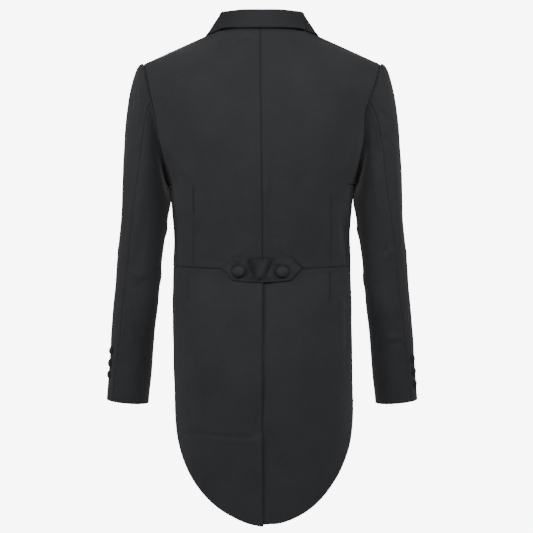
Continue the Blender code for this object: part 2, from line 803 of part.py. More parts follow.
def make_collar(collection):
    places = steps(0.0, COLLAR_NECK_PLACE, COLLAR_COLUMNS[0])
    places += steps(COLLAR_NECK_PLACE, 1.0, COLLAR_COLUMNS[1])[1:]
    left = [collar_row(place, LEFT) for place in places]
    right = [collar_row(place, RIGHT) for place in places[:0:-1]]
    rows = right + left
    cloth_sheet("collar", rows, COLLAR_CORE, COLLAR_CLOTH, collection, COLLAR_FACING, FACING_ROUGHNESS)


def make_lapels(collection):
    shares = steps(0.0, 1.0, LAPEL_COLUMNS)
    rises = [1 - (1 - share) ** LAPEL_TOP_CROWDING for share in steps(0.0, 1.0, LAPEL_ROWS)]
    for word, side in SIDES:
        core = Vector((side * LAPEL_CORE.x, LAPEL_CORE.y, LAPEL_CORE.z))
        rows = [[lapel_point(share, rise, side) for share in shares] for rise in rises]
        cloth_sheet("lapel_" + word, rows, core, LAPEL_CLOTH, collection, COLLAR_FACING, FACING_ROUGHNESS)


def make_half_belt(collection):
    places = steps(-TAB_HALF_LENGTH, -TAB_CORNER, TAB_COLUMNS[0])
    places += steps(-TAB_CORNER, TAB_CORNER, TAB_COLUMNS[1])[1:]
    places += steps(TAB_CORNER, TAB_HALF_LENGTH, TAB_COLUMNS[0])[1:]
    rows = [[tab_point(x, height_share) for x in places] for height_share in steps(-1.0, 1.0, TAB_ROWS)]
    cloth_sheet("back_tab", rows, TAB_CORE, CLOTH, collection)


def button_mesh(name, radius, height):
    mesh = bpy.data.meshes.new(name)
    points = [(radius * step.out, 0.0, height * step.up) for step in BUTTON_PROFILE]
    edges = [(index, index + 1) for index in range(len(points) - 1)]
    mesh.from_pydata(points, edges, [])
    return mesh


def add_button(name, base, normal, radius, height, collection):
    mesh = button_mesh(name, radius, height)
    obj = place_object(name, mesh, collection, BUTTON_COVER, COVER_ROUGHNESS)
    turned = obj.modifiers.new("turned", "SCREW")
    turned.steps = BUTTON_STEPS
    turned.render_steps = BUTTON_STEPS
    turned.use_merge_vertices = True
    turned.merge_threshold = 0.00005
    turned.use_smooth_shade = True
    obj.location = base + normal * SEAM_GAP
    obj.rotation_euler = normal.to_track_quat("Z", "Y").to_euler()


def make_cuff_buttons(collection):
    top = OVALS[-1].height
    for word, side in SIDES:
        for number, button in enumerate(CUFF_BUTTONS[side], start=1):
            station = 1 + (top - button.height) / (top - OVALS[0].height)
            base, normal = sleeve_outside(button.turn, station, side, 0.0)
            add_button("cuff_button_{}_{}".format(word, number), base, normal,
                       CUFF_BUTTON_RADIUS, CUFF_BUTTON_HEIGHT, collection)


def make_tab_buttons(collection):
    for word, side in SIDES:
        x = TAB_BUTTON_X[side]
        share = TAB_BUTTON_DROP / TAB_HALF_HEIGHT
        base = tab_point(x, share, CLOTH + TAB_BUTTON_SEAT)
        across = tab_point(x + TAB_BUTTON_PROBE, share) - tab_point(x - TAB_BUTTON_PROBE, share)
        rise = TAB_BUTTON_PROBE / TAB_HALF_HEIGHT
        upward = tab_point(x, share + rise) - tab_point(x, share - rise)
        normal = upward.cross(across).normalized()
        add_button("tab_button_" + word, base, normal, TAB_BUTTON_RADIUS, TAB_BUTTON_HEIGHT, collection)


def main():
    for obj in list(bpy.data.objects):
        bpy.data.objects.remove(obj, do_unlink=True)
    collection = bpy.data.collections.new(COLLECTION)
    bpy.context.scene.collection.children.link(collection)
    make_backs(collection)
    make_fronts(collection)
    make_tails(collection)
    make_sleeves(collection)
    make_collar(collection)
    make_lapels(collection)
    make_half_belt(collection)
    make_cuff_buttons(collection)
    make_tab_buttons(collection)


main()
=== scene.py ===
"""Looks of the white tie tailcoat in its worn, hollow form.

Each cloth piece is a thin shell on the form of its solid, with seams drawn in, edges turned and the
photographed creases pressed in. Metres, +Z up, the back of the coat towards +Y and the wearer's
left side at +X, as in the frame.
"""
import math
from collections import namedtuple

import bpy
import numpy as np
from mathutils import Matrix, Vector


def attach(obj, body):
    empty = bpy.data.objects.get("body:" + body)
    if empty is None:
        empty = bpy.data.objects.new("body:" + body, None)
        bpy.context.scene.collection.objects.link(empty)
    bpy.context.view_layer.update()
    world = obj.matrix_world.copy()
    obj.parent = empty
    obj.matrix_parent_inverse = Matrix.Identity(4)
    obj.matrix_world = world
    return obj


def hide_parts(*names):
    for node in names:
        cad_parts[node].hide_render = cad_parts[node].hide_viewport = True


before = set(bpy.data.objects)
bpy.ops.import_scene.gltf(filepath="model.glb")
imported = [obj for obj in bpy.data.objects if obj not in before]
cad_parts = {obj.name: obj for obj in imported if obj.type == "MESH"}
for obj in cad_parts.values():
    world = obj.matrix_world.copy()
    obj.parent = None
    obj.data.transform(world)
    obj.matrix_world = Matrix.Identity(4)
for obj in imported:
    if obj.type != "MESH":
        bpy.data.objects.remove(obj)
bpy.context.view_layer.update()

LEFT = 1
RIGHT = -1
SIDES = (("left", LEFT), ("right", RIGHT))

# Cloth walls and gaps, from the solids
CLOTH = 0.0016
COLLAR_CLOTH = 0.0022
LAPEL_CLOTH = 0.0018
LAY_GAP = 0.0008
LEAF_GAP = 0.0015
COLLAR_GAP = 0.0018
TAB_GAP = 0.0012

# Levels and points that carry the pattern, from the solids
WAIST = -0.448
UNDERARM = -0.285
SIDE_Y = -0.004
NECK_CENTRE = np.array((0.0, 0.054, 0.011))
NECK_POINT = np.array((0.076, 0.002, 0.013))
SHOULDER_POINT = np.array((0.2265, -0.003, -0.0555))
ARMHOLE_BACK = 0.057
ARMHOLE_FRONT = 0.060
ARMHOLE_MIDDLE = (SHOULDER_POINT[2] + UNDERARM) / 2
ARMHOLE_HALF = (SHOULDER_POINT[2] - UNDERARM) / 2
YOKE_TURN = 64.6
UNDERARM_TURN = 180.0
WAIST_TURN = 270.0
NECK_SHARE = 0.28
SIDE_SEAM_WAIST_ANGLE = 70.0
BODY_CORE_SHARE = 0.35
BODY_CORE_DROP = 0.06
PROBE_SHARE = 0.01
PROBE_TURN = 1.0
WAIST_RISE = 0.006
FRONT_DIP = 0.022
FRONT_DIP_START = 0.70

# Tails
TAIL_FRONT_ANGLE = 128.0
TAIL_CORNER_ANGLE = 100.0
HEM_SIDE = -0.700
HEM_DROP = {LEFT: 0.2265, RIGHT: 0.2235}
HEM_POINT = 0.25
TAIL_SWAY = -0.0050
VENT_START_ANGLE = {LEFT: -0.35, RIGHT: -14.0}
VENT_STEP_START = -1.0
VENT_STEP_ANGLE = 9.0
VENT_STEP = 0.0030

# Sleeves
SLEEVE_CAP_PULL = 0.33
SLEEVE_HANG_PULL = 1.05
FOREARM_SEAM_TURN = 218.0
ARM_SLANT = 0.085
ARM_PITCH = 0.06
OVAL_POWER = 2.15
ARMHOLE_GAP = 0.0004
LEAVE_OUT = 0.65
LEAVE_OUT_SWING = 0.35
LEAVE_BACK = 0.30
LEAVE_DOWN = 0.55
LEAVE_DOWN_SWING = 0.45

# Collar
COLLAR_NECK_PLACE = 0.55
FOLD_RADIUS = 0.0014
GORGE_RISE = 0.85
GORGE_TURN_IN = 0.50
LEAF_LEAVE_FLARE = 0.35
LEAF_PULL = 0.90
LEAF_STAND_OFF = 0.0032

# Lapels
LAPEL_BREAK_TURN = 243.0
LAPEL_GORGE_TURN = 32.0
LAPEL_PEAK_TURN = 28.0
LAPEL_ROLL_TOP_TURN = 32.6
LAPEL_NOTCH_DIP = 11.0
LAPEL_NOTCH_PLACE = 0.50
LAPEL_NOTCH_FADE = 6
LAPEL_ROLL = 0.0025
LAPEL_ROLL_SPREAD = 1.6
LAPEL_ROLL_START = 4.0

# Half belt
TAB_HALF_LENGTH = 0.0735
TAB_CORNER = 0.0550
TAB_HALF_HEIGHT = 0.0210
TAB_TIP_HALF_HEIGHT = 0.0012
TAB_LEVEL = -0.4465
TAB_SAG = 0.0045
TAB_BULGE = 0.0042
TAB_EDGE_HUG = 0.95
TAB_SOFTNESS = 0.0012
TAB_GATHER_LEFT = 0.0290
TAB_GATHER_RIGHT = -0.0240
TAB_GATHER_FADE = 0.009
TAB_BUTTON_SEAT = 0.0009
TAB_BUTTON_DROP = -0.0035
TAB_BUTTON_PROBE = 0.006
TAB_BUTTON_X = {LEFT: 0.0425, RIGHT: -0.0375}

# Buttons
CUFF_BUTTON_RADIUS = 0.0075
CUFF_BUTTON_HEIGHT = 0.0048
TAB_BUTTON_RADIUS = 0.0130
TAB_BUTTON_HEIGHT = 0.0072
BUTTON_LIFT = 0.0003

Ring = namedtuple("Ring", "height half_width back front power")
RINGS = (
    Ring(-0.940, 0.1700, 0.1230, 0.1200, 2.30),
    Ring(-0.800, 0.1712, 0.1270, 0.1230, 2.30),
    Ring(-0.700, 0.1720, 0.1290, 0.1250, 2.30),
    Ring(-0.610, 0.1720, 0.1270, 0.1250, 2.30),
    Ring(-0.530, 0.1708, 0.1160, 0.1220, 2.32),
    Ring(-0.448, 0.1700, 0.0970, 0.1170, 2.35),
    Ring(-0.390, 0.1690, 0.1020, 0.1240, 2.35),
    Ring(-0.330, 0.1730, 0.1120, 0.1310, 2.38),
    Ring(-0.285, 0.1780, 0.1180, 0.1350, 2.40),
    Ring(-0.240, 0.1950, 0.1215, 0.1370, 2.40),
    Ring(-0.200, 0.2095, 0.1230, 0.1350, 2.40),
    Ring(-0.160, 0.2180, 0.1225, 0.1270, 2.40),
    Ring(-0.120, 0.2250, 0.1180, 0.1130, 2.40),
)

FrontEdge = namedtuple("FrontEdge", "height opening")
FRONT_EDGE = (
    FrontEdge(-0.448, 0.078),
    FrontEdge(-0.400, 0.066),
    FrontEdge(-0.330, 0.058),
    FrontEdge(-0.240, 0.055),
    FrontEdge(-0.180, 0.056),
    FrontEdge(-0.120, 0.060),
)

Heading = namedtuple("Heading", "share across ahead up")
BACK_HEADINGS = (
    Heading(0.00, 0.00, -0.40, 0.92),
    Heading(0.28, -0.15, -0.80, 0.58),
    Heading(0.60, 0.00, -0.96, 0.28),
    Heading(1.00, 0.05, -0.99, 0.12),
)
FRONT_HEADINGS = (
    Heading(0.00, 0.05, 0.99, 0.12),
    Heading(0.60, 0.00, 0.94, 0.30),
    Heading(1.00, 0.12, 0.75, 0.65),
)

Oval = namedtuple("Oval", "height centre_x centre_y half_width half_depth")
OVALS = (
    Oval(-0.702, 0.2587, -0.035, 0.0412, 0.0480),
    Oval(-0.637, 0.2541, -0.027, 0.0416, 0.0500),
    Oval(-0.576, 0.2491, -0.020, 0.0413, 0.0525),
    Oval(-0.515, 0.2432, -0.013, 0.0422, 0.0555),
    Oval(-0.453, 0.2377, -0.008, 0.0425, 0.0580),
    Oval(-0.392, 0.2318, -0.004, 0.0437, 0.0610),
    Oval(-0.338, 0.2260, -0.002, 0.0462, 0.0640),
)
ARM_TOP = OVALS[-1].height
ARM_END = OVALS[0].height

Hindarm = namedtuple("Hindarm", "station turn")
HINDARM = (
    Hindarm(0.0, 70.0),
    Hindarm(0.6, 75.0),
    Hindarm(1.0, 70.0),
    Hindarm(1.5, 63.0),
    Hindarm(2.0, 54.0),
)

Stand = namedtuple("Stand", "place height lean flare lie")
STANDS = (
    Stand(0.00, 0.0290, 0.22, 0.30, 0.0),
    Stand(0.30, 0.0288, 0.18, 0.45, 0.0),
    Stand(0.55, 0.0275, 0.12, 0.85, 0.0),
    Stand(0.75, 0.0170, 0.12, 0.80, 0.35),
    Stand(0.90, 0.0075, 0.12, 0.60, 0.85),
    Stand(1.00, 0.0035, 0.12, 0.50, 1.0),
)

LeafEdge = namedtuple("LeafEdge", "place share turn")
LEAF_EDGE_BACK = (
    LeafEdge(0.00, 0.000, 2.0),
    LeafEdge(0.20, 0.140, 2.3),
    LeafEdge(0.40, 0.290, 3.0),
    LeafEdge(0.50, 0.380, 2.6),
    LeafEdge(0.55, 0.427, 0.0),
)
LEAF_EDGE_FRONT = (
    LeafEdge(0.55, 0.796, 0.0),
    LeafEdge(0.70, 0.765, 10.0),
    LeafEdge(0.85, 0.725, 25.0),
    LeafEdge(1.00, 0.700, 39.5),
)

LapelWidth = namedtuple("LapelWidth", "height width")
LAPEL_WIDTHS = (
    LapelWidth(-0.400, 0.004),
    LapelWidth(-0.330, 0.034),
    LapelWidth(-0.260, 0.061),
    LapelWidth(-0.190, 0.082),
    LapelWidth(-0.130, 0.095),
    LapelWidth(-0.080, 0.100),
    LapelWidth(-0.050, 0.098),
)

Gather = namedtuple("Gather", "top_x bottom_x width height")
GATHERS = (
    Gather(0.0300, 0.0110, 0.0055, -0.0034),
    Gather(0.0120, 0.0250, 0.0060, 0.0016),
    Gather(-0.0095, 0.0080, 0.0036, 0.0048),
    Gather(-0.0180, 0.0005, 0.0050, -0.0032),
    Gather(-0.0290, -0.0220, 0.0060, 0.0014),
)

# Shaded hollows between the half belt's folds; height is here the depth of shade, 1 being
# the full shade of a seam.
TAB_HOLLOWS = (
    Gather(0.0215, 0.0125, 0.0082, 1.05),
    Gather(-0.0185, 0.0020, 0.0046, 1.00),
)

CuffButton = namedtuple("CuffButton", "turn height")
CUFF_BUTTONS = {
    LEFT: (CuffButton(29.0, -0.606), CuffButton(28.0, -0.630), CuffButton(27.0, -0.652)),
    RIGHT: (CuffButton(34.0, -0.621), CuffButton(33.0, -0.645), CuffButton(32.0, -0.669)),
}

# Seams: how far the cloth dips into one, over which width, and the soft swell beside it; and how dark and
# wide their painted shade is
SHADE_MOST = 1.5
CREASE_POINTS = 20
RIM_ROUNDNESS = 0.35
SEAM_DIP = 0.0009
SEAM_DIP_WIDTH = 0.0014
SEAM_SWELL = 0.00045
SEAM_SWELL_PLACE = 0.0060
SEAM_SWELL_WIDTH = 0.0035
SEAM_SHADE_WIDTH = 0.0013
ROLL_RADIUS = 0.0004
SIDE_SEAM_SHADE = 0.35

# Armholes and sleeve heads, and the painted shade behind the arms and along the armholes
HEAD_ALLOWANCE = 0.0070
HEAD_SHIFT_FADE = 0.010
HEAD_SINK = 0.0030
HEAD_CLOSE = 0.0015
HEAD_TROUGH = 0.0062
HEAD_TROUGH_START = 0.006
HEAD_TROUGH_WIDTH = 0.026
BODY_ALLOWANCE = 0.0100
ALLOWANCE_SLANT = 38.0
ARMHOLE_FOOT = -0.292
UNDERARM_SHADE = {LEFT: 0.50, RIGHT: 0.22}
HEAD_SHADE_STRIP = {LEFT: 0.0030, RIGHT: 0.0068}
RIGHT_ARMHOLE_LEAN = 0.0080
RIGHT_LEAN_Z = -0.148
RIGHT_LEAN_SPREAD = 0.047

# Hang and shadow of the tails
RIGHT_HEM_DROP = 0.0036
VENT_SHADOW = 0.0022
VENT_SWELL = 0.0007
VENT_HANG = 0.0045
VENT_HANG_TOP = -0.46
VENT_HANG_LENGTH = 0.48
VENT_HANG_NEAR = 0.008
VENT_HANG_FADE = 0.05
HEM_DROP_START = 0.006
HEM_DROP_RISE = 0.030
HEM_DROP_END = 0.080
HEM_DROP_FADE = 0.060

# Buttons and folds of the half belt, and the painted shade on it and round its buttons
BUTTON_RING_SHADE = 0.95
BUTTON_RING_WIDTH = 0.0015
TAB_BUTTON_FLATTEN = 0.90
TAB_SHADOW = 0.0022
TAB_TUCKS = {LEFT: (0.0040, 0.0170), RIGHT: (0.0080, 0.0140)}
TUCK_WIDTH = 0.0075
TUCK_HEIGHT = 0.0036
TUCK_SHADE = 0.60
TAB_EDGE_DIP = 0.0005
TAB_EDGE_WIDTH = 0.0016
STITCH_INSET = 0.0032
STITCH_WIDTH = 0.0009
STITCH_DIP = 0.00028
STITCH_SHADE = 0.40
TAB_RIGHT_END = 0.050
TAB_TOP_MIDDLE = 0.030
TAB_OUTLINE_FADE = 0.008
TAB_OUTLINE_SHADE = 0.35
TAB_RIGHT_SHADE = 0.95
TAB_TOP_SHADE = 0.80
TAB_OUTLINE_WIDTH = 0.0010
TAB_RIGHT_WIDTH = 0.0018

# Collar, neck and centre seam
COLLAR_WIDEN = 0.0034
COLLAR_TOP_DROP = 0.0022
LEAF_SHADOW = 0.0052
NECK_EASING_REACH = 0.15
CENTRE_LEAN_TOP = 0.0029
CENTRE_LEAN_WAIST = -0.0013
NECK_EASING = (
    (-0.12, 1), (-0.09, 2), (-0.06, 3), (-0.03, 4), (0.0, 4), (0.03, 4), (0.06, 3), (0.09, 2), (0.12, 1),
)

# Turns round the arm between which a shade lies: where it starts, over how many degrees it rises, where
# it ends and over how many it falls
Span = namedtuple("Span", "start rise end fall")
BEHIND_ARM = Span(74, 34, 255, 50)
BESIDE_FOOT = Span(108, 30, 255, 40)
ALONG_ARMHOLE = Span(56, 24, 210, 40)
FOOT_SHADE = 1.55
FOOT_SHADE_WIDTH = 0.021
SUNKEN_HEAD = Span(58, 45, 186, 40)
BEHIND_ARM_TOP = -0.115
BEHIND_ARM_TOP_FADE = 0.06
BEHIND_ARM_FOOT = -0.43
BEHIND_ARM_FOOT_FADE = 0.13
HEAD_STRIP_LOW = 0.0050
HEAD_STRIP_LEVEL = -0.20
HEAD_STRIP_FADE = 0.06

# A crease: its line as (x, z) points on the back, its soft width on either hand, its height, and how
# much of its length fades in and out. A minus height is a trough.
Crease = namedtuple("Crease", "line width_before width_after height fade")
Dart = namedtuple("Dart", "line depth width")

BACK_CREASES = {
    LEFT: (
        Crease(
            ((0.182, -0.165), (0.170, -0.208), (0.153, -0.248), (0.134, -0.275), (0.124, -0.300)),
            0.006, 0.010, 0.0036, 0.35,
        ),
        Crease(((0.180, -0.215), (0.164, -0.262), (0.150, -0.305)), 0.008, 0.007, -0.0034, 0.40),
        Crease(((0.120, -0.130), (0.117, -0.220), (0.104, -0.330)), 0.016, 0.022, 0.0035, 0.45),
        Crease(((0.070, -0.120), (0.066, -0.240), (0.050, -0.360)), 0.018, 0.018, -0.0029, 0.45),
        Crease(((0.028, -0.012), (0.018, -0.022)), 0.003, 0.004, -0.0026, 0.35),
        Crease(((0.040, -0.010), (0.026, -0.030)), 0.004, 0.003, 0.0023, 0.40),
        Crease(((0.052, -0.008), (0.046, -0.026)), 0.004, 0.004, -0.0017, 0.40),
        Crease(((0.020, -0.395), (0.045, -0.418), (0.060, -0.430)), 0.006, 0.005, 0.0012, 0.45),
        Crease(((0.155, -0.330), (0.150, -0.400)), 0.012, 0.010, -0.0023, 0.40),
        Crease(((0.163, -0.085), (0.154, -0.101)), 0.006, 0.006, 0.0017, 0.45),
    ),
    RIGHT: (
        Crease(((-0.007, -0.215), (-0.011, -0.270), (-0.008, -0.330)), 0.006, 0.009, 0.0029, 0.40),
        Crease(((-0.190, -0.168), (-0.172, -0.230), (-0.158, -0.300)), 0.010, 0.008, 0.0029, 0.40),
        Crease(((-0.122, -0.250), (-0.124, -0.310), (-0.120, -0.380)), 0.014, 0.014, -0.0032, 0.40),
        Crease(((-0.075, -0.110), (-0.080, -0.210), (-0.066, -0.330)), 0.020, 0.020, -0.0029, 0.45),
        Crease(((-0.150, -0.090), (-0.185, -0.118)), 0.010, 0.012, 0.0026, 0.45),
        Crease(((-0.020, -0.395), (-0.040, -0.425)), 0.006, 0.006, 0.0017, 0.45),
        Crease(((-0.154, -0.335), (-0.160, -0.440)), 0.005, 0.008, -0.0035, 0.35),
    ),
}
BACK_DARTS = {
    LEFT: (
        Dart(((0.1275, -0.290), (0.1275, -0.346)), 0.0007, 0.0019),
        Dart(((0.1275, -0.346), (0.1290, -0.448)), 0.0004, 0.0019),
    ),
    RIGHT: (
        Dart(((-0.1310, -0.300), (-0.1290, -0.448)), 0.0004, 0.0019),
    ),
}

TAIL_CREASES = {
    LEFT: (
        Crease(
            ((0.155, -0.750), (0.100, -0.757), (0.040, -0.760), (-0.004, -0.761)),
            0.0028, 0.0020, -0.0022, 0.22,
        ),
        Crease(
            ((0.155, -0.756), (0.100, -0.763), (0.040, -0.766), (-0.004, -0.767)),
            0.0030, 0.0060, 0.0014, 0.22,
        ),
        Crease(((0.115, -0.5125), (0.060, -0.5120), (0.002, -0.5110)), 0.0030, 0.0022, -0.0008, 0.30),
        Crease(
            ((0.0040, -0.478), (0.0030, -0.600), (0.0000, -0.760), (-0.0010, -0.915)),
            0.0024, 0.0028, 0.0012, 0.06,
        ),
        Crease(((0.139, -0.500), (0.138, -0.520)), 0.0040, 0.0030, -0.0028, 0.40),
        Crease(((0.133, -0.530), (0.122, -0.512), (0.097, -0.510)), 0.0050, 0.0060, 0.0013, 0.40),
        Crease(((0.120, -0.560), (0.112, -0.650), (0.098, -0.735)), 0.020, 0.018, 0.0030, 0.45),
        Crease(((0.055, -0.530), (0.048, -0.620), (0.040, -0.700)), 0.018, 0.022, -0.0028, 0.45),
        Crease(((0.110, -0.790), (0.085, -0.850)), 0.020, 0.020, 0.0023, 0.45),
        Crease(((0.163, -0.470), (0.166, -0.600)), 0.006, 0.010, 0.0023, 0.40),
    ),
    RIGHT: (
        Crease(((-0.130, -0.498), (-0.133, -0.511)), 0.0030, 0.0030, -0.0032, 0.45),
        Crease(((-0.140, -0.500), (-0.146, -0.512), (-0.142, -0.528)), 0.0045, 0.0040, 0.0026, 0.40),
        Crease(((-0.112, -0.570), (-0.118, -0.650), (-0.108, -0.730)), 0.022, 0.020, -0.0032, 0.40),
        Crease(((-0.060, -0.520), (-0.066, -0.640), (-0.060, -0.760)), 0.022, 0.026, 0.0030, 0.45),
        Crease(((-0.159, -0.462), (-0.161, -0.560), (-0.158, -0.620)), 0.0040, 0.0060, -0.0030, 0.30),
        Crease(((-0.030, -0.790), (-0.050, -0.860)), 0.020, 0.018, -0.0028, 0.45),
        Crease(((-0.100, -0.800), (-0.120, -0.850)), 0.018, 0.020, 0.0023, 0.45),
    ),
}
TAIL_DARTS = {
    LEFT: (Dart(((0.1390, -0.451), (0.1385, -0.505)), 0.0003, 0.0018),),
    RIGHT: (Dart(((-0.1270, -0.451), (-0.1270, -0.512)), 0.0006, 0.0019),),
}

# Creases of the sleeves, as (turn, z) points round each arm, written for widths along the cloth. Turn 0
# is the outer side, 90 the back and 180 the side next to the body.
SLEEVE_CREASES = {
    LEFT: (
        Crease(((20.0, -0.066), (43.0, -0.108), (58.0, -0.150)), 0.0030, 0.0042, 0.0032, 0.35),
        Crease(((6.0, -0.080), (28.0, -0.120), (44.0, -0.165)), 0.0060, 0.0050, -0.0020, 0.40),
        Crease(((62.0, -0.120), (66.0, -0.170), (64.0, -0.215)), 0.0050, 0.0050, -0.0018, 0.40),
        Crease(((40.0, -0.180), (36.0, -0.300), (30.0, -0.430)), 0.010, 0.012, 0.0026, 0.45),
        Crease(((2.0, -0.160), (6.0, -0.300), (-2.0, -0.420)), 0.014, 0.012, -0.0024, 0.45),
        Crease(((82.0, -0.190), (84.0, -0.300), (78.0, -0.400)), 0.009, 0.010, 0.0022, 0.45),
        Crease(((100.0, -0.300), (96.0, -0.390), (88.0, -0.470)), 0.012, 0.010, -0.0028, 0.45),
        Crease(((74.0, -0.445), (96.0, -0.462), (126.0, -0.452)), 0.005, 0.008, 0.0022, 0.45),
        Crease(((84.0, -0.475), (112.0, -0.486)), 0.006, 0.006, -0.0020, 0.45),
        Crease(((64.0, -0.505), (84.0, -0.540), (86.0, -0.580)), 0.006, 0.007, 0.0020, 0.45),
        Crease(((74.0, -0.560), (70.0, -0.600)), 0.004, 0.005, -0.0016, 0.45),
        Crease(((110.0, -0.520), (104.0, -0.640)), 0.012, 0.012, -0.0018, 0.45),
        Crease(((132.0, -0.314), (222.0, -0.314)), 0.019, 0.030, 0.0044, 0.50),
        Crease(((160.0, -0.352), (190.0, -0.374), (212.0, -0.364)), 0.010, 0.012, 0.0024, 0.40),
        Crease(((150.0, -0.440), (180.0, -0.462), (210.0, -0.452)), 0.012, 0.014, 0.0022, 0.45),
        Crease(((-45.0, -0.330), (-20.0, -0.400), (10.0, -0.425)), 0.009, 0.012, 0.0030, 0.40),
        Crease(((-60.0, -0.390), (-35.0, -0.440), (-5.0, -0.455)), 0.008, 0.011, -0.0030, 0.40),
        Crease(((-95.0, -0.240), (-70.0, -0.300), (-40.0, -0.330)), 0.009, 0.011, 0.0028, 0.40),
        Crease(((-118.0, -0.425), (-84.0, -0.458), (-50.0, -0.470)), 0.009, 0.011, 0.0030, 0.40),
        Crease(((-20.0, -0.560), (-24.0, -0.660)), 0.014, 0.012, 0.0020, 0.45),
    ),
    RIGHT: (
        Crease(((46.0, -0.160), (60.0, -0.182), (72.0, -0.202)), 0.0040, 0.0050, 0.0030, 0.35),
        Crease(((64.0, -0.200), (76.0, -0.228), (88.0, -0.262)), 0.0045, 0.0060, 0.0034, 0.35),
        Crease(((60.0, -0.140), (58.0, -0.156), (54.0, -0.180)), 0.0055, 0.0050, -0.0034, 0.40),
        Crease(((78.0, -0.165), (86.0, -0.205), (100.0, -0.235)), 0.0070, 0.0060, -0.0028, 0.40),
        Crease(((76.0, -0.215), (84.0, -0.250)), 0.0040, 0.0040, -0.0020, 0.45),
        Crease(((92.0, -0.240), (96.0, -0.300), (90.0, -0.360)), 0.0060, 0.0080, 0.0026, 0.40),
        Crease(((80.0, -0.290), (78.0, -0.350), (80.0, -0.410)), 0.0060, 0.0060, -0.0024, 0.40),
        Crease(((44.0, -0.190), (46.0, -0.300), (42.0, -0.430)), 0.010, 0.009, 0.0024, 0.40),
        Crease(((12.0, -0.140), (14.0, -0.280), (6.0, -0.420)), 0.012, 0.012, -0.0022, 0.45),
        Crease(((72.0, -0.400), (80.0, -0.415), (90.0, -0.440)), 0.0045, 0.0060, 0.0030, 0.40),
        Crease(((82.0, -0.400), (94.0, -0.420)), 0.0050, 0.0045, -0.0022, 0.40),
        Crease(((58.0, -0.579), (84.0, -0.579), (112.0, -0.584)), 0.0032, 0.0050, 0.0026, 0.30),
        Crease(((58.0, -0.588), (84.0, -0.589), (112.0, -0.593)), 0.0040, 0.0036, -0.0016, 0.30),
        Crease(((104.0, -0.470), (100.0, -0.560)), 0.010, 0.012, 0.0020, 0.45),
        Crease(((76.0, -0.520), (74.0, -0.560)), 0.0050, 0.0050, -0.0018, 0.45),
        Crease(((132.0, -0.314), (222.0, -0.314)), 0.019, 0.030, 0.0044, 0.50),
        Crease(((160.0, -0.354), (188.0, -0.376), (212.0, -0.366)), 0.010, 0.012, 0.0024, 0.40),
        Crease(((150.0, -0.448), (182.0, -0.468), (210.0, -0.460)), 0.012, 0.014, 0.0022, 0.45),
        Crease(((-42.0, -0.340), (-18.0, -0.405), (12.0, -0.430)), 0.010, 0.011, 0.0028, 0.40),
        Crease(((-64.0, -0.395), (-38.0, -0.450), (-8.0, -0.462)), 0.008, 0.010, -0.0030, 0.40),
        Crease(((-100.0, -0.250), (-72.0, -0.305), (-46.0, -0.325)), 0.009, 0.011, 0.0026, 0.40),
        Crease(((-120.0, -0.435), (-86.0, -0.470), (-52.0, -0.485)), 0.009, 0.011, 0.0028, 0.40),
        Crease(((-16.0, -0.550), (-22.0, -0.655)), 0.012, 0.014, 0.0020, 0.45),
    ),
}

# Creases of the fronts, as (x, z) points for the left side and mirrored unevenly for the right
FRONT_CREASES = {
    LEFT: (
        Crease(((0.168, -0.270), (0.150, -0.235), (0.128, -0.215)), 0.009, 0.012, 0.0021, 0.40),
        Crease(((0.160, -0.300), (0.140, -0.330), (0.125, -0.380)), 0.012, 0.014, -0.0018, 0.40),
        Crease(((0.150, -0.400), (0.120, -0.425), (0.095, -0.440)), 0.008, 0.008, 0.0015, 0.40),
    ),
    RIGHT: (
        Crease(((-0.170, -0.265), (-0.148, -0.238), (-0.132, -0.222)), 0.008, 0.012, 0.0018, 0.40),
        Crease(((-0.158, -0.310), (-0.142, -0.345), (-0.128, -0.395)), 0.013, 0.012, -0.0017, 0.40),
        Crease(((-0.148, -0.395), (-0.126, -0.418), (-0.100, -0.436)), 0.007, 0.009, 0.0017, 0.40),
    ),
}
FRONT_DARTS = {
    LEFT: (Dart(((0.1180, -0.245), (0.1240, -0.450)), 0.0004, 0.0019),),
    RIGHT: (Dart(((-0.1180, -0.245), (-0.1240, -0.450)), 0.0004, 0.0019),),
}

# Broad, shallow unevenness of worn cloth: direction, length of a wave and its share of the height
Swell = namedtuple("Swell", "across along start share")
SWELLS = (
    Swell(21.0, 13.0, 0.7, 0.30),
    Swell(-34.0, 19.0, 2.1, 0.22),
    Swell(55.0, -27.0, 4.0, 0.16),
    Swell(-13.0, 46.0, 5.2, 0.18),
    Swell(88.0, 39.0, 1.3, 0.08),
    Swell(-70.0, 95.0, 3.4, 0.06),
)
SWELL_HEIGHT = 0.0022

# The real cut of what shows of each sheet: width, length and area on the flat
Cut = namedtuple("Cut", "width length area")


def column(table, field):
    return np.array([getattr(row, field) for row in sorted(table)])


def smooth_value(table, field, place):
    """One column of a table at places along its first column, on a smooth curve."""
    places = column(table, table[0]._fields[0])
    values = column(table, field)
    before = np.maximum(np.arange(len(places)) - 1, 0)
    after = np.minimum(np.arange(len(places)) + 1, len(places) - 1)
    slopes = (values[after] - values[before]) / (places[after] - places[before])
    place = np.clip(place, places[0], places[-1])
    low = np.clip(np.searchsorted(places, place, side="right") - 1, 0, len(places) - 2)
    step = places[low + 1] - places[low]
    share = (place - places[low]) / step
    return hermite(values[low], slopes[low] * step, values[low + 1], slopes[low + 1] * step, share)


def hermite(start, start_slope, end, end_slope, share):
    square = share * share
    cube = square * share
    return (
        start * (2 * cube - 3 * square + 1)
        + start_slope * (cube - 2 * square + share)
        + end * (3 * square - 2 * cube)
        + end_slope * (cube - square)
    )


def mix(start, end, share):
    return start + (end - start) * share


def ease(share):
    share = np.clip(share, 0.0, 1.0)
    return share * share * (3 - 2 * share)


def crowded(count, crowding):
    """Places from 0 to 1, closer together at both ends."""
    even = np.linspace(0.0, 1.0, count)
    return mix(even, 0.5 - 0.5 * np.cos(np.pi * even), crowding)


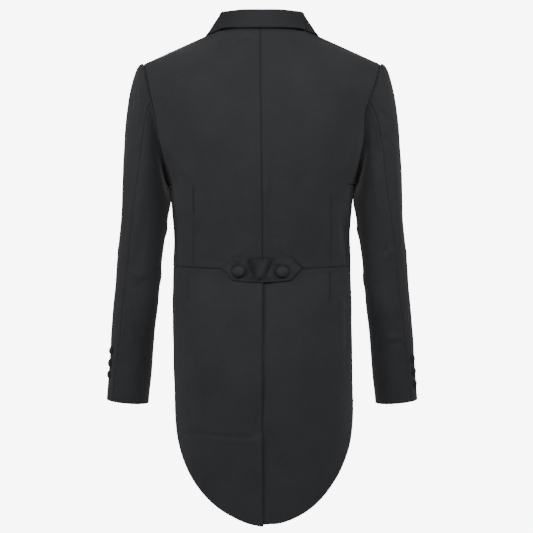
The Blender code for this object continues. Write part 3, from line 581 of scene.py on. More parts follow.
def point(x, y, z):
    return np.stack(np.broadcast_arrays(x, y, z), axis=-1).astype(float)


def unit(way):
    return way / np.maximum(np.linalg.norm(way, axis=-1, keepdims=True), 1e-12)


def run_between(start, start_way, end, end_way, share, start_pull=1.0, end_pull=1.0):
    """Points on a smooth run of cloth from start to end that leaves and arrives along two ways."""
    reach = np.linalg.norm(end - start, axis=-1, keepdims=True)
    share = np.asarray(share)[..., None]
    return hermite(
        start, unit(start_way) * reach * start_pull, end, unit(end_way) * reach * end_pull, share
    )


def heading(table, share, side):
    return point(
        side * smooth_value(table, "across", share),
        smooth_value(table, "ahead", share),
        smooth_value(table, "up", share),
    )


# Body form


def superellipse(angle, power):
    """Signed sine and cosine of a body section that is squarer than an ellipse."""
    sine = np.sin(np.radians(angle))
    cosine = np.cos(np.radians(angle))
    return np.sign(sine) * np.abs(sine) ** power, np.sign(cosine) * np.abs(cosine) ** power


def ring_point(height, angle, side, inset=CLOTH):
    half_width = smooth_value(RINGS, "half_width", height) - inset
    back = smooth_value(RINGS, "back", height)
    front = smooth_value(RINGS, "front", height)
    depth = np.where(np.abs(angle) <= 90, back, front) - inset
    sine, cosine = superellipse(angle, 2 / smooth_value(RINGS, "power", height))
    return point(side * sine * half_width, SIDE_Y + cosine * depth, height)


def side_seam_angle(height):
    return mix(SIDE_SEAM_WAIST_ANGLE, 90.0, ease((height - WAIST) / (UNDERARM - WAIST)))


def front_edge_angle(height):
    power = smooth_value(RINGS, "power", height)
    half_width = smooth_value(RINGS, "half_width", height) - CLOTH
    opening = smooth_value(FRONT_EDGE, "opening", height)
    return 180.0 - np.degrees(np.arcsin((opening / half_width) ** (power / 2)))


def panel_height(turn):
    beside = ARMHOLE_MIDDLE + ARMHOLE_HALF * np.cos(np.radians(np.minimum(turn, UNDERARM_TURN)))
    below = (turn - UNDERARM_TURN) / (WAIST_TURN - UNDERARM_TURN)
    return np.where(turn <= UNDERARM_TURN, beside, mix(UNDERARM, WAIST, below))


def outer_edge_angle(turn, depth_field, reach):
    height = panel_height(turn)
    depth = smooth_value(RINGS, depth_field, height) - CLOTH
    power = smooth_value(RINGS, "power", height)
    share = np.clip(reach * np.sin(np.radians(turn)) / depth, 0.0, 1.0)
    beside = np.degrees(np.arccos(share ** (power / 2)))
    return np.where(turn >= UNDERARM_TURN, side_seam_angle(height), beside)


def below_underarm(turn):
    return ease((turn - UNDERARM_TURN) / (WAIST_TURN - UNDERARM_TURN))


def waist_lift(angle, turn):
    rise = WAIST_RISE * np.sin(np.radians(angle)) ** 2 * below_underarm(turn)
    return point(0.0, 0.0, rise)


def back_top(share, side):
    quarter = np.radians(90 * np.minimum(share / NECK_SHARE, 1.0))
    neck = point(
        NECK_POINT[0] * np.sin(quarter),
        mix(NECK_POINT[1], NECK_CENTRE[1], np.cos(quarter)),
        mix(NECK_POINT[2], NECK_CENTRE[2], np.cos(quarter)),
    )
    along = np.clip((share - NECK_SHARE) / (1 - NECK_SHARE), 0.0, 1.0)[..., None]
    shoulder = mix(NECK_POINT, SHOULDER_POINT, along)
    top = np.where((share <= NECK_SHARE)[..., None], neck, shoulder)
    return top * np.array((side, 1.0, 1.0))


def back_on_ring(share, turn, side):
    angle = share * outer_edge_angle(turn, "back", ARMHOLE_BACK)
    return ring_point(panel_height(turn), angle, side) + waist_lift(angle, turn)


def back_point(share, turn, side):
    """Inner face of a back panel: share 0 is the centre seam, turn 270 the waist, 0 the top."""
    share, turn = np.broadcast_arrays(np.asarray(share, float), np.asarray(turn, float))
    lower = back_on_ring(share, np.maximum(turn, YOKE_TURN), side)
    low = back_on_ring(share, np.full_like(turn, YOKE_TURN), side)
    low_way = low - back_on_ring(share, np.full_like(turn, YOKE_TURN + 2), side)
    along = 1 - np.minimum(turn, YOKE_TURN) / YOKE_TURN
    upper = run_between(low, low_way, back_top(share, side), heading(BACK_HEADINGS, share, side), along)
    return np.where((turn >= YOKE_TURN)[..., None], lower, upper)


def front_top(share, side):
    seam = mix(SHOULDER_POINT, NECK_POINT, share[..., None])
    return seam * np.array((side, 1.0, 1.0))


def front_on_ring(share, turn, side):
    height = panel_height(turn)
    edge = outer_edge_angle(turn, "front", ARMHOLE_FRONT)
    edge = np.where(turn < UNDERARM_TURN, 180.0 - edge, edge)
    angle = mix(edge, front_edge_angle(height), share)
    dip = FRONT_DIP * below_underarm(turn) * ease((share - FRONT_DIP_START) / (1 - FRONT_DIP_START))
    return ring_point(height, angle, side) + waist_lift(angle, turn) - point(0.0, 0.0, dip)


def front_point(share, turn, side):
    """Inner face of a front: share 0 is the side seam or armhole, 1 the open front edge."""
    share, turn = np.broadcast_arrays(np.asarray(share, float), np.asarray(turn, float))
    lower = front_on_ring(share, np.maximum(turn, YOKE_TURN), side)
    low = front_on_ring(share, np.full_like(turn, YOKE_TURN), side)
    low_way = low - front_on_ring(share, np.full_like(turn, YOKE_TURN + 2), side)
    along = 1 - np.minimum(turn, YOKE_TURN) / YOKE_TURN
    upper = run_between(low, low_way, front_top(share, side), heading(FRONT_HEADINGS, share, side), along)
    return np.where((turn >= YOKE_TURN)[..., None], lower, upper)


def panel_frame(panel, share, turn, side):
    """Inner points of a panel with the outward normals and the ways across and down it."""
    share, turn = np.broadcast_arrays(np.asarray(share, float), np.asarray(turn, float))
    here = panel(share, turn, side)
    near = panel(np.maximum(share - PROBE_SHARE, 0.0), turn, side)
    far = panel(np.minimum(share + PROBE_SHARE, 1.0), turn, side)
    above = panel(share, np.maximum(turn - PROBE_TURN, 0.0), side)
    below = panel(share, np.minimum(turn + PROBE_TURN, WAIST_TURN), side)
    across = unit(far - near)
    down = unit(below - above)
    normal = unit(np.cross(across, down))
    core = point(BODY_CORE_SHARE * here[..., 0], 0.0, here[..., 2] - BODY_CORE_DROP)
    outward = np.sum(normal * (here - core), axis=-1, keepdims=True)
    return here, np.where(outward < 0, -normal, normal), across, down


def panel_outside(panel, share, turn, side, clear):
    here, normal, _, _ = panel_frame(panel, share, turn, side)
    return here + normal * (CLOTH + np.asarray(clear))[..., None]


def hem_height(angle, side):
    share = np.abs(angle) / 90
    rise = HEM_POINT * share + (1 - HEM_POINT) * share * share
    return HEM_SIDE - HEM_DROP[side] * (1 - rise)


def tail_point(share, drop, side):
    """Inner face of a tail: the right one steps inwards and runs on under the left one."""
    share, drop = np.broadcast_arrays(np.asarray(share, float), np.asarray(drop, float))
    start = VENT_START_ANGLE[side]
    angle = mix(start, mix(TAIL_FRONT_ANGLE, TAIL_CORNER_ANGLE, drop * drop), share)
    height = mix(WAIST, hem_height(mix(start, TAIL_CORNER_ANGLE, share), side), drop)
    inset = np.full_like(share, CLOTH)
    if side == RIGHT:
        inset = inset + VENT_STEP * (1 - ease((angle - VENT_STEP_START) / VENT_STEP_ANGLE))
    lift = WAIST_RISE * np.sin(np.radians(angle)) ** 2 * (1 - drop) ** 2
    return ring_point(height, angle, side, inset) + point(TAIL_SWAY * drop * drop, 0.0, lift)


# Sleeve form


def armhole_start(turn, side):
    """Start of the sleeve, just clear of the armhole edge, the panel's normal and the way it leaves."""
    turn = np.mod(turn, 360.0)
    behind = (turn <= 180)[..., None]
    back, back_normal, _, _ = panel_frame(back_point, 1.0, np.minimum(turn, 180.0), side)
    front, front_normal, _, _ = panel_frame(front_point, 0.0, np.minimum(360 - turn, 180.0), side)
    start = np.where(behind, back, front)
    normal = np.where(behind, back_normal, front_normal)
    cosine = np.cos(np.radians(turn))
    sine = np.sin(np.radians(turn))
    out = LEAVE_OUT + LEAVE_OUT_SWING * cosine
    drop = LEAVE_DOWN - LEAVE_DOWN_SWING * cosine
    way = unit(point(side * out, LEAVE_BACK * sine, -drop))
    clear = CLOTH + ARMHOLE_GAP + CLOTH * np.maximum(0.0, -cosine)
    return start + normal * clear[..., None] + way * ARMHOLE_GAP, normal, way


def oval_point(turn, height, side):
    centre_x = smooth_value(OVALS, "centre_x", height)
    centre_y = smooth_value(OVALS, "centre_y", height)
    half_width = smooth_value(OVALS, "half_width", height) - CLOTH
    half_depth = smooth_value(OVALS, "half_depth", height) - CLOTH
    sine, cosine = superellipse(turn, 2 / OVAL_POWER)
    out = cosine * half_width
    back = sine * half_depth
    pitch = ARM_PITCH * (ARM_TOP - height) / (ARM_TOP - ARM_END)
    return point(side * (centre_x + out), centre_y + back, height + out * ARM_SLANT - back * pitch)


def sleeve_point(turn, station, side):
    """Inner face of a sleeve: station 0 is the armhole, 1 the first oval and 2 the cuff."""
    turn, station = np.broadcast_arrays(np.asarray(turn, float), np.asarray(station, float))
    lower = oval_point(turn, mix(ARM_TOP, ARM_END, np.maximum(station - 1, 0.0)), side)
    start, _, way = armhole_start(turn, side)
    top = np.full_like(turn, ARM_TOP)
    end = oval_point(turn, top, side)
    end_way = oval_point(turn, top - 0.004, side) - end
    upper = run_between(
        start, way, end, end_way, np.minimum(station, 1.0), SLEEVE_CAP_PULL, SLEEVE_HANG_PULL
    )
    return np.where((station >= 1)[..., None], lower, upper)


# Creases, seams and swells


def smooth_line(line):
    """A smooth curve through the points of a crease."""
    knots = np.array(line, float)
    if len(knots) == 2:
        return mix(knots[0], knots[1], np.linspace(0, 1, CREASE_POINTS)[:, None])
    places = np.linspace(0, len(knots) - 1, CREASE_POINTS)
    low = np.clip(places.astype(int), 0, len(knots) - 2)
    share = (places - low)[:, None]
    slopes = np.gradient(knots, axis=0)
    return hermite(knots[low], slopes[low], knots[low + 1], slopes[low + 1], share)


def off_line(chart, line):
    """Signed distance of chart points from a line, and their place along it from 0 to 1."""
    flat = chart.reshape(-1, 2)
    best = np.full(len(flat), np.inf)
    signed = np.zeros(len(flat))
    along = np.zeros(len(flat))
    segments = len(line) - 1
    for index in range(segments):
        start, end = line[index], line[index + 1]
        way = end - start
        length = max(np.hypot(*way), 1e-9)
        offset = flat - start
        share = np.clip(offset @ way / length ** 2, 0.0, 1.0)
        gap = np.hypot(*(offset - share[:, None] * way).T)
        nearer = gap < best
        hand = np.sign(way[0] * offset[:, 1] - way[1] * offset[:, 0])
        best = np.where(nearer, gap, best)
        signed = np.where(nearer, gap * hand, signed)
        along = np.where(nearer, (index + share) / segments, along)
    return signed.reshape(chart.shape[:-1]), along.reshape(chart.shape[:-1])


def crease_relief(chart, creases):
    """Height of soft ridges and troughs laid along lines."""
    relief = np.zeros(chart.shape[:-1])
    for crease in creases:
        signed, along = off_line(chart, smooth_line(crease.line))
        width = np.where(signed < 0, crease.width_before, crease.width_after)
        fade = ease(along / crease.fade) * ease((1 - along) / crease.fade)
        relief += crease.height * fade * np.exp(-((signed / width) ** 2))
    return relief


def dart_relief(chart, darts):
    """Narrow sewn lines: a fine groove, and its shade from 0 to 1."""
    relief = np.zeros(chart.shape[:-1])
    shade = np.zeros(chart.shape[:-1])
    for dart in darts:
        signed, along = off_line(chart, smooth_line(dart.line))
        ends = ease(along / 0.08) * ease((1 - along) / 0.08)
        dip = ends * np.exp(-((signed / dart.width) ** 2))
        relief += dart.depth * (0.45 * np.exp(-((signed / (4 * dart.width)) ** 2)) * ends - dip)
        shade = np.maximum(shade, dip * dart.depth / SEAM_DIP)
    return relief, shade


def swell_relief(chart, phase):
    """Shallow, broad unevenness."""
    relief = np.zeros(chart.shape[:-1])
    for swell in SWELLS:
        wave = chart[..., 0] * swell.across + chart[..., 1] * swell.along
        relief += swell.share * np.sin(wave + swell.start + phase)
    return relief * SWELL_HEIGHT


def edge_gaps(grid):
    """Distance of each grid point from the first and last row and column, along the cloth."""
    across = np.linalg.norm(np.diff(grid, axis=1), axis=-1)
    along = np.linalg.norm(np.diff(grid, axis=0), axis=-1)
    first_column = np.pad(np.cumsum(across, axis=1), ((0, 0), (1, 0)))
    first_row = np.pad(np.cumsum(along, axis=0), ((1, 0), (0, 0)))
    return {
        "first_column": first_column,
        "last_column": first_column[:, -1:] - first_column,
        "first_row": first_row,
        "last_row": first_row[-1:] - first_row,
    }


def seam_relief(gap):
    """The cloth turns down into a seam, with a slight swell beside it."""
    swell = SEAM_SWELL * np.exp(-(((gap - SEAM_SWELL_PLACE) / SEAM_SWELL_WIDTH) ** 2))
    return swell - SEAM_DIP * np.exp(-((gap / SEAM_DIP_WIDTH) ** 2))


def seam_shade(gap):
    return np.exp(-((gap / SEAM_SHADE_WIDTH) ** 2))


# Shells


def grid_normals(grid, outward_core):
    """Outward normals of a grid of points; the sign tells whether rows and columns run the other way."""
    across = np.gradient(grid, axis=1)
    along = np.gradient(grid, axis=0)
    normal = unit(np.cross(across, along))
    middle = tuple(size // 2 for size in grid.shape[:2])
    sign = 1.0 if np.dot(normal[middle], grid[middle] - outward_core) > 0 else -1.0
    return normal * sign, sign


def softened(grid, passes):
    """The grid with each row drawn towards the rows beside it, its two ends kept."""
    soft = np.array(grid, dtype=float)
    for _ in range(passes):
        soft[1:-1] = (soft[:-2] + 2 * soft[1:-1] + soft[2:]) / 4
    return soft


def armhole_lean(points, side):
    """Move towards the centre that bends the right armhole's back edge as it hangs."""
    if side == LEFT:
        return np.zeros(points.shape[:-1])
    return RIGHT_ARMHOLE_LEAN * np.exp(-(((points[..., 2] - RIGHT_LEAN_Z) / RIGHT_LEAN_SPREAD) ** 2))


def rolled_edge(edge, away, normal, depth, slant):
    """Lines that roll a sheet's edge down into its seam, away being the way past that edge. The allowance
    then slants by that many degrees, away from the sheet or, below 0, back under it."""
    deep = unit(normal - away * np.sum(normal * away, axis=-1, keepdims=True))
    centre = edge - deep * ROLL_RADIUS
    lines = [
        centre + ROLL_RADIUS * (deep * math.cos(bend) + away * math.sin(bend))
        for bend in np.linspace(0.0, math.pi / 2, 7)[1:]
    ]
    leg = away * math.sin(math.radians(slant)) - deep * math.cos(math.radians(slant))
    lines += [lines[-1] + leg * depth * share for share in np.linspace(0.0, 1.0, 5)[1:]]
    return np.stack(lines)


def flat_chart(grid):
    """Cloth coordinates in metres, measured along each row and each column."""
    gaps = edge_gaps(grid)
    return np.stack((gaps["first_column"], gaps["first_row"]), axis=-1)


def perimeter(rows, columns):
    top = [(0, c) for c in range(columns)]
    right = [(r, columns - 1) for r in range(1, rows)]
    bottom = [(rows - 1, c) for c in range(columns - 2, -1, -1)]
    left = [(r, 0) for r in range(rows - 2, 0, -1)]
    return np.array(top + right + bottom + left)


def shell_mesh(name, inner, outer, sign, shade):
    """Closed thin shell between two grids, its rim rounded, with cloth coordinates and its painted shade."""
    rows, columns = inner.shape[:2]
    count = rows * columns
    index = np.arange(count).reshape(rows, columns)
    rim = perimeter(rows, columns)
    inward = np.stack((np.clip(rim[:, 0], 1, rows - 2), np.clip(rim[:, 1], 1, columns - 2)), axis=1)
    rim_outer = outer[rim[:, 0], rim[:, 1]]
    rim_inner = inner[rim[:, 0], rim[:, 1]]
    away = unit(rim_outer - outer[inward[:, 0], inward[:, 1]])
    wall = np.linalg.norm(rim_outer - rim_inner, axis=-1, keepdims=True)
    edge = (rim_outer + rim_inner) / 2 + away * wall * RIM_ROUNDNESS
    points = np.concatenate((outer.reshape(-1, 3), inner.reshape(-1, 3), edge))

    first, second = index[:-1, :-1], index[:-1, 1:]
    third, fourth = index[1:, 1:], index[1:, :-1]
    out_faces = np.stack((first, second, third, fourth), axis=-1).reshape(-1, 4)
    in_faces = out_faces[:, ::-1] + count
    ring = index[rim[:, 0], rim[:, 1]]
    ring_next = np.roll(ring, -1)
    middle = 2 * count + np.arange(len(rim))
    middle_next = np.roll(middle, -1)
    rim_out = np.stack((ring_next, ring, middle, middle_next), axis=-1)
    rim_in = np.stack((middle_next, middle, ring + count, ring_next + count), axis=-1)
    faces = np.concatenate((out_faces, in_faces, rim_out, rim_in))
    if sign < 0:
        faces = faces[:, ::-1]

    cut = flat_chart(inner)
    rim_cut = cut[rim[:, 0], rim[:, 1]]
    cut_points = np.concatenate((cut.reshape(-1, 2), cut.reshape(-1, 2), rim_cut))
    shade_points = np.concatenate((shade.ravel(), shade.ravel(), shade[rim[:, 0], rim[:, 1]]))
    return mesh_from(name, points, faces, cut_points, shade_points)


def mesh_from(name, points, faces, cut_points, shade_points):
    mesh = bpy.data.meshes.new(name)
    mesh.vertices.add(len(points))
    mesh.vertices.foreach_set("co", np.ascontiguousarray(points, np.float32).ravel())
    mesh.loops.add(faces.size)
    mesh.loops.foreach_set("vertex_index", np.ascontiguousarray(faces, np.int32).ravel())
    mesh.polygons.add(len(faces))
    mesh.polygons.foreach_set("loop_start", np.arange(0, faces.size, 4, dtype=np.int32))
    mesh.update(calc_edges=True)
    mesh.validate()
    mesh.polygons.foreach_set("use_smooth", np.ones(len(mesh.polygons), bool))
    corners = np.zeros(len(mesh.loops), np.int32)
    mesh.loops.foreach_get("vertex_index", corners)
    layer = mesh.uv_layers.new(name="cloth_cut")
    layer.data.foreach_set("uv", np.ascontiguousarray(cut_points[corners], np.float32).ravel())
    # Painted shade, held in the seam attribute: seams, darts, under the collar, round the half belt, arms and
    # vent.
    seam = mesh.attributes.new("seam", "FLOAT", "POINT")
    seam.data.foreach_set("value", np.ascontiguousarray(shade_points, np.float32))
    return mesh


def add_piece(name, mesh, node, material):
    piece = bpy.data.objects.new(name, mesh)
    mesh.materials.append(material)
    bpy.context.scene.collection.objects.link(piece)
    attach(piece, "root")
    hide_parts(node)
    return piece


def cloth_piece(node, inner, core, relief, shade, material, thickness=CLOTH, centre_seam=False):
    """Thin shell of one cloth piece, its creases pressed into both faces."""
    normal, sign = grid_normals(inner, np.array(core, float))
    if centre_seam:
        normal[:, 0, 0] = 0.0
        normal = unit(normal)
    inner = inner + normal * relief[..., None]
    outer = inner + normal * thickness
    mesh = shell_mesh(node + "_cloth", inner, outer, sign, np.clip(shade, 0.0, SHADE_MOST))
    return add_piece(node + "_cloth", mesh, node, material)


# Cloth pieces


def body_turns(count_below, count_beside, count_above):
    below = crowd_start(count_below) * (UNDERARM_TURN - WAIST_TURN) + WAIST_TURN
    beside = np.linspace(UNDERARM_TURN, YOKE_TURN, count_beside)[1:]
    above = YOKE_TURN * (1 - crowd_end(count_above))[1:]
    return np.concatenate((below, beside, above))


def crowd_start(count):
    even = np.linspace(0.0, 1.0, count)
    return mix(even, 1 - np.cos(np.pi / 2 * even), 0.55)


def crowd_end(count):
    return 1 - crowd_start(count)[::-1]


def lean_centre(grid, side):
    """The centre back seam leans a little, and both panels follow it."""
    share = np.linspace(0.0, 1.0, grid.shape[1])[None, :]
    rise = np.clip((grid[:, :1, 2] - WAIST) / (0.0 - WAIST), 0.0, 1.0)
    lean = mix(CENTRE_LEAN_WAIST, CENTRE_LEAN_TOP, ease(rise))
    grid[..., 0] += lean * (1 - ease(share * 3))
    return grid


def eased_back(shares, turns, side):
    """A back panel, its form softened where the neck curve meets the shoulder seam."""
    plain = back_point(shares, turns, side)
    soft = np.zeros_like(plain)
    for step, weight in NECK_EASING:
        soft += weight * back_point(np.clip(shares + step, 0.0, 1.0), turns, side)
    soft /= sum(weight for _, weight in NECK_EASING)
    near = np.exp(-(((shares - NECK_SHARE) / NECK_EASING_REACH) ** 2))
    near = near * ease(turns / 4.0) * (1 - ease((turns - 40.0) / 24.0))
    return mix(plain, soft, near[..., None])


def roll_armhole(inner, away, normal, gap):
    """A body panel drawn back from its armhole edge, its allowance there, and the shade on that."""
    away = unit(softened(away, 10))
    normal = unit(softened(normal, 10))
    draw_in = (CLOTH + ROLL_RADIUS) * np.exp(-gap / HEAD_SHIFT_FADE)
    inner = inner - away[:, None] * draw_in[..., None]
    column = np.argmin(gap[0])
    edge = inner[:, column]
    at_armhole = ease((edge[:, 2:] - ARMHOLE_FOOT) / 0.012)
    depth = mix(0.0010, BODY_ALLOWANCE, at_armhole)
    roll = np.moveaxis(rolled_edge(edge, away, normal, depth, ALLOWANCE_SLANT), 0, 1)
    # Painted shade on the allowance: lighter near the top of the armhole and at the side seam.
    low_seam_shade = mix(0.45, 0.85, ease((-0.09 - edge[:, 2:]) / 0.05))
    roll_shade = mix(SIDE_SEAM_SHADE, low_seam_shade, at_armhole) + np.zeros(roll.shape[:2])
    return inner, roll, roll_shade


def leaf_shadow(points, side):
    """Shade on the back just under the edge of the collar's leaf."""
    edge = leaf_edge(np.linspace(0.0, COLLAR_NECK_PLACE, 90), side)
    across = np.abs(edge[:, 0])
    level = np.interp(np.abs(points[..., 0]), across, edge[:, 2], right=-10.0)
    below = np.maximum(level - points[..., 2], 0.0)
    near = ease((points[..., 2] - level + 0.02) / 0.01) * (points[..., 1] > 0)
    return near * (level > -9.0) * np.exp(-((below / LEAF_SHADOW) ** 2))


def tab_shadow(points):
    """Shade on the coat beside the half belt: under its right point and along the middle of its top."""
    x = points[..., 0]
    sag = TAB_SAG * (1 - (np.minimum(np.abs(x), TAB_CORNER) / TAB_CORNER) ** 2)
    rise = points[..., 2] - TAB_LEVEL + sag
    beyond = 0.75 * (np.abs(rise) - tab_half_height(x))
    right_end = ease((-x - 0.046) / 0.008)
    top_middle = ease((0.030 - np.abs(x)) / 0.008) * (rise > 0)
    strength = np.maximum(0.25, np.maximum(1.40 * right_end, 0.75 * top_middle)) * (points[..., 1] > 0)
    return strength * np.exp(-((np.maximum(beyond, 0.0) / TAB_SHADOW) ** 2)) * (np.abs(x) < 0.078)


def make_backs(wool):
    shares = crowded(136, 0.72)[None, :]
    turns = body_turns(62, 78, 62)[:, None]
    for word, side in SIDES:
        inner = eased_back(shares, turns, side)
        chart = inner[..., [0, 2]]
        gaps = edge_gaps(inner)
        inner = lean_centre(inner, side)
        _, edge_normal, across, _ = panel_frame(back_point, 1.0, turns[:, 0], side)
        inner[..., 0] += armhole_lean(inner[:, -1:], side) * np.exp(-gaps["last_column"] / 0.045)
        inner, roll, roll_shade = roll_armhole(inner, across, edge_normal, gaps["last_column"])
        # Painted shade in the armhole seam, as on its turned allowance.
        armhole_shade = roll_shade[:, :1]
        relief = swell_relief(chart, 0.0) * ease(gaps["last_row"] / 0.03) * ease(gaps["first_column"] / 0.02)
        relief += crease_relief(chart, BACK_CREASES[side])
        darts, dart_shade = dart_relief(chart, BACK_DARTS[side])
        relief += darts
        shade = dart_shade
        for edge, strength in (
            ("first_column", 0.7), ("last_column", armhole_shade),
            ("first_row", 1.0), ("last_row", 1.0),
        ):
            relief += seam_relief(gaps[edge])
            shade = np.maximum(shade, strength * seam_shade(gaps[edge]))
        # Painted shadows under the collar's leaf and round the half belt.
        shade = np.maximum(shade, np.maximum(leaf_shadow(inner, side), tab_shadow(inner)))
        relief *= ease(gaps["last_column"] / 0.003)
        inner = np.concatenate((inner, roll), axis=1)
        relief = np.concatenate((relief, 0 * roll_shade), axis=1)
        shade = np.concatenate((shade, roll_shade), axis=1)
        piece = cloth_piece("back_" + word, inner, (0, 0, -0.25), relief, shade, wool,
                            centre_seam=True)


def make_fronts(wool):
    shares = crowded(90, 0.6)[None, :]
    turns = body_turns(36, 46, 34)[:, None]
    for word, side in SIDES:
        inner = front_point(shares, turns, side)
        chart = inner[..., [0, 2]]
        gaps = edge_gaps(inner)
        _, edge_normal, across, _ = panel_frame(front_point, 0.0, turns[:, 0], side)
        inner, roll, roll_shade = roll_armhole(inner, -across, edge_normal, gaps["first_column"])
        relief = swell_relief(chart, 1.0) * ease(gaps["last_row"] / 0.03)
        relief += crease_relief(chart, FRONT_CREASES[side])
        darts, shade = dart_relief(chart, FRONT_DARTS[side])
        relief += darts
        for edge in ("first_column", "last_row"):
            relief += seam_relief(gaps[edge])
            shade = np.maximum(shade, seam_shade(gaps[edge]))
        relief *= ease(gaps["first_column"] / 0.003)
        inner = np.concatenate((roll[:, ::-1], inner), axis=1)
        relief = np.concatenate((0 * roll_shade, relief), axis=1)
        shade = np.concatenate((roll_shade, shade), axis=1)
        piece = cloth_piece("front_" + word, inner, (0, 0, -0.25), relief, shade, wool)


def vent_wedge(chart):
    """Soft hollow between a fold and the vent edge, closed below by the pressed crease."""
    x, z = chart[..., 0], chart[..., 1]
    down = (z + 0.664) / (-0.758 + 0.664)
    fold_x = mix(0.0025, 0.0205, np.clip(down, 0.0, 1.0))
    depth = 0.0024 * ease(down / 0.8) * (1 - ease((down - 0.95) / 0.08))
    return -depth * ease((fold_x - x) / 0.010 + 0.35)


def make_tails(wool):
    for word, side in SIDES:
        shares = crowded(126, 0.6)[None, :]
        drops = crowded(150, 0.6)[:, None]
        inner = tail_point(shares, drops, side)
        hang = VENT_HANG * ease((VENT_HANG_TOP - inner[..., 2]) / VENT_HANG_LENGTH)
        fade = ease((np.abs(inner[..., 0]) - VENT_HANG_NEAR) / VENT_HANG_FADE)
        inner[..., 0] += hang * (1 - fade) * (inner[..., 1] > 0)
        if side == RIGHT:
            beside = np.abs(inner[..., 0])
            reach = ease((beside - HEM_DROP_START) / HEM_DROP_RISE)
            reach = reach * (1 - ease((beside - HEM_DROP_END) / HEM_DROP_FADE)) * (inner[..., 1] > 0)
            inner[..., 2] -= RIGHT_HEM_DROP * reach * drops ** 2
        chart = inner[..., [0, 2]]
        gaps = edge_gaps(inner)
        relief = swell_relief(chart, 2.0 * side) * ease(gaps["first_row"] / 0.03)
        relief += crease_relief(chart, TAIL_CREASES[side])
        darts, shade = dart_relief(chart, TAIL_DARTS[side])
        relief += darts
        if side == LEFT:
            relief += vent_wedge(chart)
            relief += VENT_SWELL * (np.exp(-(((gaps["first_column"] - 0.0045) / 0.003) ** 2))
                                    - np.exp(-((gaps["first_column"] / 0.0018) ** 2)))
            vent_heights, vent_x = inner[::-1, 0, 2], inner[::-1, 0, 0]
            # Painted shade on the left tail's vent edge.
            shade = np.maximum(shade, 0.8 * np.exp(-((gaps["first_column"] / 0.0009) ** 2)))
        else:
            # Painted shadow of the left tail's vent edge on the right tail.
            vent = np.interp(inner[..., 2], vent_heights, vent_x)
            shade = np.maximum(shade, 0.9 * np.exp(-(((inner[..., 0] - vent) / VENT_SHADOW) ** 2)))
        relief += seam_relief(gaps["first_row"])
        shade = np.maximum(shade, np.maximum(seam_shade(gaps["first_row"]), tab_shadow(inner)))
        piece = cloth_piece("tail_" + word, inner, (0, 0, -0.7), relief, shade, wool)


def sleeve_head_roll(turns, side):
    """Rows of the seam allowance at the sleeve head, rolled down beside the armhole edge, and the small
    move that sets the sleeve head beside that edge, level with it or lower behind the arm."""
    start, normal, way = armhole_start(turns, side)
    level = 0.3 * CLOTH * ease((np.cos(np.radians(turns)) + 0.9) / 1.2)
    apart = CLOTH + ROLL_RADIUS - HEAD_CLOSE * ease((turns - 28) / 24) * ease((150 - turns) / 40)
    move = way * apart[:, None] - normal * (level + HEAD_SINK * behind_arm(turns))[:, None]
    move[:, 0] += armhole_lean(start, side) * ease(turns / 20) * ease((200 - turns) / 20)
    rows = rolled_edge(start + move, -way, normal, HEAD_ALLOWANCE, -ALLOWANCE_SLANT)
    return rows[::-1], move


def behind_arm(turns):
    return span_share(SUNKEN_HEAD, turns)


def span_share(span, turns):
    return ease((turns - span.start) / span.rise) * ease((span.end - turns) / span.fall)


def underarm_shade(turns, z, depth, side):
    """Painted shade gathered behind the arm, more of it beside the foot of the armhole, and a strip of it
    along the armhole.
    """
    broad = span_share(BEHIND_ARM, turns) * ease((BEHIND_ARM_TOP - z) / BEHIND_ARM_TOP_FADE)
    broad = broad * ease((z - BEHIND_ARM_FOOT) / BEHIND_ARM_FOOT_FADE)
    foot = span_share(BESIDE_FOOT, turns) * np.exp(-((depth / FOOT_SHADE_WIDTH) ** 2))
    strip_width = mix(HEAD_SHADE_STRIP[side], HEAD_STRIP_LOW, ease((HEAD_STRIP_LEVEL - z) / HEAD_STRIP_FADE))
    shade_strip = span_share(ALONG_ARMHOLE, turns) * np.exp(-((depth / strip_width) ** 2))
    return np.maximum(UNDERARM_SHADE[side] * broad, np.maximum(FOOT_SHADE * foot, shade_strip))


